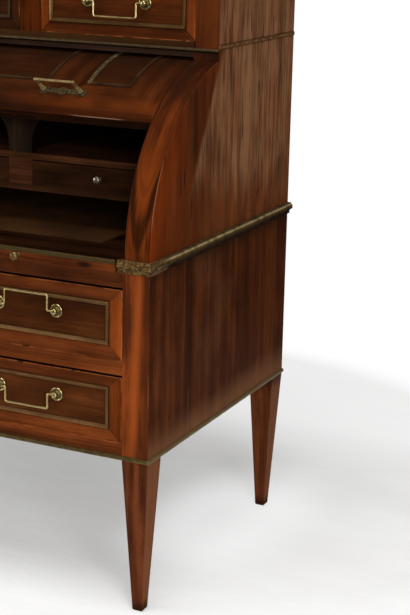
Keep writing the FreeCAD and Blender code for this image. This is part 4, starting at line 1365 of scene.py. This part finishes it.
@dataclass
class Mouldings(DressedPiece):
    """The brass beads round the case and the stamped moulding at its waist."""

    waist_out: float = 0.012
    return_end: float = 0.571
    return_run: float = 0.0775
    leaf_pitch: float = 0.0118
    base_low: float = 0.325
    tier_low: float = 1.092
    base_bead: Pair = (0.005, 0.009)
    tier_bead: Pair = (0.004, 0.008)
    stamp_deep: float = 0.0016
    base_wear: float = 0.0005
    tier_wear: float = 0.0004
    base_brass: Finish = BrassFinish(
        "bead_brass", rgb(116, 97, 55), rgb(48, 38, 21), age=0.65, gloss=0.26, dull_sides=0.7
    )
    tier_brass: Finish = BrassFinish(
        "tier_brass", rgb(104, 85, 55), rgb(44, 34, 21), age=0.65, gloss=0.28, dirty_below=1.0948
    )

    def build(self) -> None:
        """Make every run of brass."""
        for sign, side in ((1.0, "right"), (-1.0, "left")):
            piece = self._waist(f"waist_moulding_{side}", sign)
            self.settle(piece, WaistFinish(), "case", "aged_brass", "waist_moulding")
        self.settle(self._base(), self.base_brass, "case", "aged_brass", "base_moulding")
        self.settle(self._tier(), self.tier_brass, "case", "aged_brass", "tier_moulding")

    def _waist(self, name: str, sign: float) -> bpy.types.Object:
        """One side's stamped moulding with its return round the front corner.

        The section is carried along the front return and the side; leaves are stamped into its
        belly as a wave along the run, deepest in front.

        Args:
            name: Name of the new piece.
            sign: 1 for the right side and -1 for the left.

        Returns:
            The new object.
        """
        out, up = WAIST_OUTLINE[:, 0] * self.waist_out, WAIST_OUTLINE[:, 1] * WAIST_HIGH
        front = np.linspace(0.0, 1.0, 66)[:, None]
        side = np.linspace(0.0, 1.0, 430)[1:, None]
        run = np.concatenate([front * self.return_run, self.return_run + side * (REAR - FRONT)])
        depth = 0.10 + 0.90 * np.clip((0.145 - run) / 0.05, 0.0, 1.0)
        phase = 2 * np.pi * run / self.leaf_pitch
        leaf = 0.5 + 0.5 * np.cos(phase + 2.2 * np.sin(np.pi * up / WAIST_HIGH)[None])
        vein = 0.5 + 0.5 * np.cos(2 * phase + 0.6) * np.sin(2 * np.pi * up / WAIST_HIGH)[None]
        belly = np.clip((out / self.waist_out - 0.3) / 0.4, 0.0, 1.0)[None]
        dent = 0.3 * np.sin(run * 911.0) * np.sin(run * 373.0 + up[None] * 700.0)
        leaves = np.clip(0.55 * leaf + 0.35 * vein + dent, 0.0, 1.2)
        pressed = np.maximum(out[None] - self.stamp_deep * depth * belly * leaves, 0.0)
        edge, brow = HALF + pressed, FRONT - pressed
        n, end = len(front), self.return_end
        x = np.concatenate([end + front * (edge[:n] - end), edge[n:]])
        y = np.concatenate([brow[:n], brow[n:] + side * (REAR - brow[n:])])
        return self._run(name, sign * x, y, WAIST_LOW + up)

    def _bead(self, deep: float, high: float) -> Tuple[np.ndarray, np.ndarray]:
        """The section of a half-round bead with a flat back.

        Args:
            deep: How far it stands out.
            high: Its height.

        Returns:
            How far out and how high each point lies.
        """
        a = np.linspace(0.0, np.pi, 13)
        out = np.concatenate([[0.0], deep * (0.35 + 0.65 * np.sin(a)), [0.0]])
        up = np.concatenate([[0.0], high * (0.5 - 0.5 * np.cos(a)), [high]])
        return out, up

    def _base(self) -> bpy.types.Object:
        """The bead carried round sides and front, mitred, and worn by two waves along it."""
        out, up = self._bead(*self.base_bead)
        side = np.linspace(1.0, 0.0, 120)[:-1, None]
        front = np.linspace(-1.0, 1.0, 220)[:, None]
        run = np.concatenate([side, 1.0 + np.linspace(0.0, 2.0, 220)[:, None], 3.0 + side[::-1]])
        wave = np.sin(run * 61.0) * np.sin(run * 147.0 + up[None] * 300.0)
        worn = np.maximum(out[None] - self.base_wear * (0.5 + 0.5 * wave) * (out > 0.0)[None], 0.0)
        edge, brow = HALF + worn, FRONT - worn
        n, m = len(side), len(side) + len(front)
        x = np.concatenate([-edge[:n], front * edge[n:m], edge[m:]])
        y = np.concatenate([
            brow[:n] + side * (REAR - brow[:n]),
            brow[n:m],
            brow[m:] + side[::-1] * (REAR - brow[m:]),
        ])
        return self._run("base_bead", x, y, self.base_low + up)

    def _tier(self) -> bpy.types.Object:
        """The straight bead under the top drawers, worn by two waves along it."""
        out, up = self._bead(*self.tier_bead)
        x = np.linspace(-HALF, HALF, 260)[:, None]
        wave = np.sin(x * 83.0) * np.sin(x * 197.0 + up[None] * 350.0)
        worn = np.maximum(out[None] - self.tier_wear * (0.5 + 0.5 * wave) * (out > 0.0)[None], 0.0)
        return self._run("tier_bead", x, TIER_FRONT - worn, self.tier_low + up)

    def _run(self, name: str, x: np.ndarray, y: np.ndarray, z: np.ndarray) -> bpy.types.Object:
        """A closed length of moulding.

        Args:
            name: Name of the new piece.
            x: Place across of each point, by sections and points of a section.
            y: The same for its depth.
            z: Height of each point of a section.

        Returns:
            The new object.
        """
        points = np.stack(np.broadcast_arrays(x, y, z[None]), axis=-1)
        return skin(name, points, wrap_columns=True, cap_rows=True)


@dataclass(frozen=True)
class Front:
    """Where the front of a framed drawer and its brass lie.

    The drawer's name is its node and its body, mounts is the CAD node of its brass, kind says which
    tones it takes, and the rosettes stand at pin_z, a pair to each of the handles.
    """

    drawer: str
    mounts: str
    kind: FrontKind
    middle: Pair
    frame: Pair
    y: float
    handles: Tuple[float, ...]
    pin_z: float
    seed: float


@dataclass
class DrawerBrass(DressedPiece):
    """The reeded brass frame and the rosettes on a drawer front."""

    rosette: float = 0.014
    boss: float = 0.0145
    spacing: float = 0.1316

    def build(self, front: Front) -> None:
        """Make one drawer's brass.

        Args:
            front: Where it lies; the new pieces' names start with the drawer's.
        """
        label, middle = front.drawer, front.middle
        path = reeded(front.frame, 2)
        points = np.stack(np.broadcast_arrays(
            middle[0] + path[..., 0], front.y - RISE, middle[1] + path[..., 1]
        ), axis=-1)
        frame = skin(f"{label}_frame", points, wrap_rows=True, wrap_columns=True)
        finish = FrameFinish(f"{label}_frame_brass", middle, front.frame, FRAME_TONES[front.kind])
        self.settle(frame, finish, label, "aged_brass", front.mounts)
        middles = tuple(x + side * self.spacing for x in front.handles for side in (-0.5, 0.5))
        size = (self.rosette, self.boss)
        roses = [turned("rose", ROSETTE, *size, (x, front.y, front.pin_z)) for x in middles]
        finish = RosetteFinish(f"{label}_rosette_brass", middles, front.pin_z, self.rosette)
        whole = merged(f"{label}_rosettes", roses)
        self.settle(whole, finish, label, "polished_brass", front.mounts)


@dataclass
class CylinderBrass(DressedPiece):
    """The reeded brass frames bent over the cylinder."""

    rise_share: float = 0.72

    def build(self) -> None:
        """Make the three frames as one piece."""
        places = ((-END_FRAME[0], END_FRAME[1]), MIDDLE_FRAME, END_FRAME)
        whole = merged("cylinder_brass_frames", [self._frame(*place) for place in places])
        self.settle(whole, ShellFrameFinish(), "cylinder", "aged_brass", "cylinder_frames")

    def _frame(self, middle: float, half: float) -> bpy.types.Object:
        """A frame that follows the shell: height along it becomes an angle about the axis.

        Args:
            middle: Its middle across.
            half: Half of its width.

        Returns:
            The new object.
        """
        path = reeded((half, 0.5 * (FRAME_HIGH - FRAME_LOW) * SHELL), 40)
        angle = 0.5 * (FRAME_LOW + FRAME_HIGH) + path[..., 1] / SHELL
        reach = SHELL + RISE * self.rise_share
        points = np.stack([
            middle + path[..., 0], AXIS_Y - reach * np.cos(angle), AXIS_Z + reach * np.sin(angle),
        ], axis=-1)
        return skin("frame", points, wrap_rows=True, wrap_columns=True)


@dataclass
class Knobs(DressedPiece):
    """Turned pulls on the writing slide and the small drawers."""

    slide_x: float = 0.3485
    slide_z: float = 0.7105
    slide_size: Pair = (0.0095, 0.024)
    nest_size: Pair = (0.0085, 0.017)
    slide_brass: Finish = BrassFinish(
        "aged_brass", rgb(128, 102, 58), rgb(82, 62, 34), age=0.5, gloss=0.30
    )
    nest_brass: Finish = BrassFinish(
        "knob_brass", rgb(150, 138, 120), rgb(74, 64, 52), age=0.4, gloss=0.3, dents=0.00002
    )

    def build(self) -> None:
        """Make the pulls, those of the small drawers where the CAD knobs stand."""
        pulls = [
            turned("pull", PULL, *self.slide_size, (sign * self.slide_x, FRONT, self.slide_z))
            for sign in (-1.0, 1.0)
        ]
        whole = merged("slide_pulls", pulls)
        self.settle(whole, self.slide_brass, "slide", "aged_brass", "slide_knobs")
        for side in SIDES:
            low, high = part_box(f"nest_knob_{side}")
            seat = (0.5 * (low.x + high.x), high.y, 0.5 * (low.z + high.z))
            knob = turned(f"small_knob_{side}", PULL, *self.nest_size, seat, 36)
            body, node = f"nest_drawer_{side}", f"nest_knob_{side}"
            self.settle(knob, self.nest_brass, body, "aged_brass", node)


@dataclass
class WritingTop(DressedPiece):
    """The writing slide, its strip and the leather let into it."""

    half: float = 0.4715
    near: float = -0.2165
    far: float = 0.2045
    top: float = 0.725
    thick: float = 0.0015
    rim: float = 0.0006
    sunk: float = 0.0001
    swell: float = 0.00015
    rolled: float = 0.0007
    strip_brass: Finish = BrassFinish(
        "strip_brass", rgb(102, 82, 48), rgb(55, 42, 24), age=0.6, gloss=0.34, dents=0.0001
    )

    def build(self) -> None:
        """Lay the leather, and dress the slide and its strip."""
        self.settle(self._leather(), LeatherFinish(), "slide", "leather", "slide_leather")
        self.dress(SlideFinish(), "writing_slide")
        self.dress(self.strip_brass, "slide_strip")

    def _leather(self) -> bpy.types.Object:
        """The sheet as one closed grid that sinks by two slow waves and rolls down at its rim."""
        u = np.linspace(-1.0, 1.0, 150)
        v = np.linspace(-1.0, 1.0, 68)
        x = np.concatenate([[-self.half], u * (self.half - self.rim), [self.half]])
        y_mid, y_half = 0.5 * (self.near + self.far), 0.5 * (self.far - self.near)
        y = np.concatenate([[y_mid - y_half], y_mid + v * (y_half - self.rim), [y_mid + y_half]])
        grid_x, grid_y = np.meshgrid(x, y, indexing="ij")
        wave = np.sin(grid_x * 17.0 + 1.3 * np.sin(grid_y * 21.0)) * np.sin(grid_y * 13.0 + 0.7)
        rise = self.top - self.sunk - self.swell * (0.5 + 0.5 * wave)
        rise[[0, -1], :] = rise[:, [0, -1]] = self.top - self.rolled
        upper = np.stack([grid_x, grid_y, rise], axis=-1)
        lower = np.stack([grid_x, grid_y, np.full_like(rise, self.top - self.thick)], axis=-1)
        points = np.concatenate([lower[:1], upper, lower[-1:]], axis=0)
        sides = np.concatenate([points[:, :1], points, points[:, -1:]], axis=1)
        sides[:, [0, -1], 2] = self.top - self.thick
        return skin("writing_leather_sheet", sides, fill=True)


@dataclass
class Carcass(DressedPiece):
    """Posts, panels, boards and cheeks that stay as they were cut."""

    def build(self) -> None:
        """Dress every fixed wooden node."""
        legs = [f"leg_{row}_{side}" for row in ("front", "back") for side in ("right", "left")]
        self.dress(PostFinish(), *legs)
        self.dress(SidePanelFinish(), "side_panels")
        self.dress(CheekFinish("cheek_mahogany"), "cheek_right", "cheek_left")
        self.dress(CheekFinish("tier_end_mahogany", beaded=True), "tier_ends")
        for finish, names in self._boards():
            self.dress(finish, *names.split())

    def _boards(self) -> Tuple[Tuple[Finish, str], ...]:
        """The finish of each kind of board, and the nodes that take it."""
        across, deep, upright = Grain.ACROSS, Grain.DEEP, Grain.UPRIGHT
        rail = Veneer(RAIL_TONES.times(0.95), 0.020, seed=130.0)
        tier_edge = Veneer(TIER_EDGE_TONES, 0.020, seed=131.0)
        fascia = Veneer(FASCIA_TONES, 0.020, seed=132.0)
        stile = Veneer(CURVE_TONES.times(0.55), 0.018, 0.6, seed=133.0)
        top = Veneer(FIELD_TONES, 0.04, 1.3, seed=136.0)
        waist = Veneer(SIDE_TONES, 0.02, seed=139.0)
        shelf = Veneer(INSIDE_TONES.times(2.3), 0.03, seed=143.0)
        block = Veneer(INSIDE_TONES.times(2.2), 0.03, seed=144.0)
        pier = Veneer(PIER_TONES, 0.02, seed=145.0)
        # painted shade: the back of the nest made near black
        recess_shade = Veneer(INSIDE_TONES.times(0.3), 0.03, seed=146.0)
        back = Veneer(PLAIN_TONES, 0.035, 0.8, 0.04, 0.6, 0.2, 148.0)
        guide = Veneer(PLAIN_TONES, 0.03, 0.8, 0.02, 0.6, 0.2, 151.0)
        return (
            (BoardFinish("rail_mahogany", rail, across, dim_above=0.66, dim_below=0.345),
             "front_rails tier_ceiling"),
            (BoardFinish("tier_edge_mahogany", tier_edge, across), "tier_floor"),
            (BoardFinish("fascia_mahogany", fascia, across), "fascia"),
            (BoardFinish("stile_mahogany", stile, upright), "tier_dividers"),
            (BoardFinish("waist_mahogany", waist, deep), "waist_boards"),
            (BoardFinish("top_mahogany", top, across), "top_board"),
            (BoardFinish("back_wood", back, across, 0.6),
             "back_lower back_upper bottom_board dust_board"),
            (BoardFinish("guide_wood", guide, deep, 0.6), "drawer_guides slide_ledges"),
            (BoardFinish("shelf_wood", shelf, across, 0.45, dim_below=0.84), "nest_boards"),
            (BoardFinish("recess_wood", recess_shade, across, 0.5), "nest_back"),
            (BoardFinish("block_wood", block, across, 0.45), "nest_blocks"),
            # painted shade on the piers' side faces
            (BoardFinish("pier_wood", pier, upright, 0.5, dark_sides=0.9), "nest_arches"),
        )


@dataclass
class Fittings(DressedPiece):
    """Brass that stays as it was cut, and the cylinder's shell."""

    bail_brass: Finish = BrassFinish(
        "bright_brass", rgb(192, 170, 114), rgb(150, 126, 74), age=0.2, gloss=0.30, dents=0.0,
        close=120.0,
    )

    def build(self) -> None:
        """Dress the handles and the shell."""
        self.dress(ShellFinish(), "cylinder_shell")
        self.dress(HandleFinish(), "cylinder_handles")
        for level in ("upper", "lower"):
            self.dress(self.bail_brass, f"long_bail_{level}_left", f"long_bail_{level}_right")
        self.dress(self.bail_brass, *[f"top_bail_{side}" for side in SIDES])


@dataclass
class Drawers(DressedPiece):
    """Every drawer, each with a finish laid out on its own front."""

    long_rows: Tuple[Tuple[FrontKind, float, float], ...] = (
        (FrontKind.UPPER, 0.525, 0.147), (FrontKind.LOWER, 0.358, 0.1395),
    )
    long_frame: Pair = (0.5505, 0.043)
    long_handle: float = 0.368
    long_pin_up: float = 0.010
    top_frame: Pair = (0.1563333, 0.045)
    top_pitch: float = 0.4066667
    top_height: float = 1.180
    top_pin_z: float = 1.182
    thick: float = 0.022
    small_thick: float = 0.012

    def build(self) -> None:
        """Dress the drawers and add their brass."""
        brass = DrawerBrass(self.nodes)
        for front in self._fronts():
            low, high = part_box(front.drawer)
            self.dress(DrawerFinish(
                f"{front.drawer}_finish", tuple(low), tuple(high), front.y, self.thick, front.seed,
                FRONT_TONES[front.kind], front.middle, front.frame,
            ), front.drawer)
            brass.build(front)
        for number, side in enumerate(SIDES):
            node = f"nest_drawer_{side}"
            low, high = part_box(node)
            self.dress(DrawerFinish(
                f"{node}_finish", tuple(low), tuple(high), low.y, self.small_thick, 15.0 + number,
                (INSIDE_TONES.times(1.5),),
            ), node)

    def _fronts(self) -> Sequence[Front]:
        """The framed fronts: two long drawers, then three in the upper tier."""
        fronts = []
        for number, (kind, low, height) in enumerate(self.long_rows):
            middle = low + 0.5 * height
            fronts.append(Front(
                f"long_drawer_{kind.value}", f"long_mounts_{kind.value}", kind, (0.0, middle),
                self.long_frame, FRONT, (-self.long_handle, self.long_handle),
                middle + self.long_pin_up, 3.0 * number,
            ))
        for number, side in enumerate(SIDES):
            x = (number - 1.0) * self.top_pitch
            kind = FrontKind.TOP_MIDDLE if side == "middle" else FrontKind.TOP
            fronts.append(Front(
                f"top_drawer_{side}", f"top_mounts_{side}", kind, (x, self.top_height),
                self.top_frame, TIER_FRONT, (x,), self.top_pin_z, 9.0 + number,
            ))
        return fronts


@dataclass
class Studio:
    """Floor, world, lamps and camera."""

    eye: Triple = (1.9055, -2.7989, 1.4083)
    yaw: float = math.radians(25.01)
    pitch: float = math.radians(15.377)
    roll: float = math.radians(-1.249)
    focal: float = 1528.7
    long_side: float = 615.0
    sensor: float = 36.0
    floor_half: float = 1.45
    floor_middle: Pair = (0.25, 0.15)
    white: Colour = (1.0, 1.0, 1.0, 1.0)
    lamps: Tuple[Tuple[str, Triple, Triple, float, float], ...] = (
        ("key", (2.9, -3.3, 1.6), (0.2, 0.0, 0.6), 1.8, 125.0),
        ("fill", (-3.3, -2.7, 1.5), (0.2, 0.0, 0.7), 1.8, 70.0),
        ("high", (0.8, -1.3, 4.0), (0.5, 0.0, 0.0), 2.2, 100.0),
    )

    def build(self) -> None:
        """Set up everything round the desk."""
        scene = bpy.context.scene
        scene.view_settings.view_transform = "Standard"
        self._camera()
        self._world()
        self._floor()
        for lamp in self.lamps:
            self._lamp(*lamp)

    def _stand(
        self, name: str, data: bpy.types.ID, place: Triple, axes: Sequence[np.ndarray]
    ) -> bpy.types.Object:
        """Stand a camera or a lamp in the room.

        Args:
            name: Name of the new object.
            data: The camera or the lamp.
            place: Where it stands.
            axes: Its three axes, each of length one.

        Returns:
            The new object.
        """
        thing = bpy.data.objects.new(name, data)
        turn = np.column_stack(axes)
        thing.matrix_world = Matrix.Translation(place) @ Matrix(turn.tolist()).to_4x4()
        bpy.context.scene.collection.objects.link(thing)
        return thing

    def _camera(self) -> None:
        """A camera turned by yaw, pitch and roll."""
        sin, cos = math.sin, math.cos
        ahead = np.array([
            -sin(self.yaw) * cos(self.pitch), cos(self.yaw) * cos(self.pitch), -sin(self.pitch)
        ])
        level = np.array([cos(self.yaw), sin(self.yaw), 0.0])
        down = np.cross(ahead, level)
        right = cos(self.roll) * level + sin(self.roll) * down
        up = sin(self.roll) * level - cos(self.roll) * down
        data = bpy.data.cameras.new("photo_view")
        data.sensor_width = self.sensor
        data.sensor_fit = "AUTO"
        data.lens = self.focal * self.sensor / self.long_side
        bpy.context.scene.camera = self._stand("photo_view", data, self.eye, (right, up, -ahead))

    def _world(self) -> None:
        """A white backdrop behind the desk and a dimmer room in front of it."""
        world = bpy.data.worlds.new("studio")
        world.use_nodes = True
        bpy.context.scene.world = world
        graph = Graph(world.node_tree)
        across, deep, _ = graph.split("Generated")
        backdrop = (deep * 0.906 - across * 0.423).fade(0.80, 0.94)
        seen = graph.add("ShaderNodeLightPath", output="Is Camera Ray")
        mirrored = graph.add("ShaderNodeLightPath", output="Is Glossy Ray")
        room = 0.24 - mirrored * 0.16
        strength = seen + (1.0 - seen) * room.most(backdrop)
        inputs = {"Color": self.white, "Strength": strength}
        graph.end("ShaderNodeOutputWorld", graph.add("ShaderNodeBackground", None, inputs))

    def _floor(self) -> None:
        """A pale paper floor with shallow creases, which fades to the white backdrop, with a
        painted pool of light under the desk's right side.
        """
        reach = np.linspace(-self.floor_half, self.floor_half, 59)
        x, y = np.meshgrid(*[reach + middle for middle in self.floor_middle], indexing="ij")
        floor = skin("paper_floor", np.stack([x, y, np.zeros_like(x)], axis=-1))
        material, graph = new_material("paper")
        px, py, _ = graph.axes()
        crease = graph.noise((2.2, 5.0, 3.0), 121.0, 4.0)
        fine = graph.noise(60.0, 123.0, 3.0)
        paper = graph.add("ShaderNodeBsdfPrincipled", None, {
            "Base Color": graph.ramp(crease, (0.3, rgb(234, 233, 232)), (0.7, rgb(246, 246, 245))),
            "Roughness": 0.6,
            "Normal": graph.bump(crease * 0.9 + fine * 0.1, 0.02, 0.35),
            "Specular IOR Level": 0.2,
        })
        camera, glossy, through = [
            graph.add("ShaderNodeLightPath", output=f"Is {kind} Ray")
            for kind in ("Camera", "Glossy", "Transmission")
        ]
        seen = camera.most(glossy * py.fade(0.2, 0.8)).most(through)
        white = graph.add("ShaderNodeEmission", None, {"Color": self.white, "Strength": 1.0})
        away = (px - 0.1).length(py - 0.35)
        # painted pool of light on the floor under the desk's right side, seen by the camera
        light_pool = ((px - 0.58) / 0.26).length((py - 0.2) / 0.45).drop(0.3, 1.0)
        painted_glow = light_pool * 0.38 + py.fade(0.5, 1.0) * 0.4 + 0.26
        far = painted_glow.most(away.fade(0.85, 1.22)) * seen
        both = graph.add("ShaderNodeMixShader", None, {0: far, 1: paper, 2: white})
        graph.end("ShaderNodeOutputMaterial", both)
        put_on(floor, material)

    def _lamp(self, name: str, place: Triple, target: Triple, size: float, power: float) -> None:
        """A square soft lamp that faces a point.

        Args:
            name: Name of the lamp.
            place: Where it stands.
            target: The point it faces.
            size: Length of its side in metres.
            power: Power in watts.
        """
        data = bpy.data.lights.new(name, "AREA")
        data.shape = "SQUARE"
        data.size = size
        data.energy = power
        back = np.array(place) - np.array(target)
        back /= np.linalg.norm(back)
        level = np.cross((0.0, 1.0, 0.0) if abs(back[2]) > 0.95 else (0.0, 0.0, 1.0), back)
        level /= np.linalg.norm(level)
        self._stand(name, data, place, (level, np.cross(back, level), back))


def main() -> None:
    """Build the dressed desk."""
    logging.basicConfig(level=logging.INFO, format="%(message)s")
    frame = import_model()
    Studio().build()
    for assembly in (Carcass, Fittings, Mouldings, CylinderBrass, WritingTop, Drawers, Knobs):
        assembly(frame["nodes"]).build()


if __name__ == "__main__":
    main()
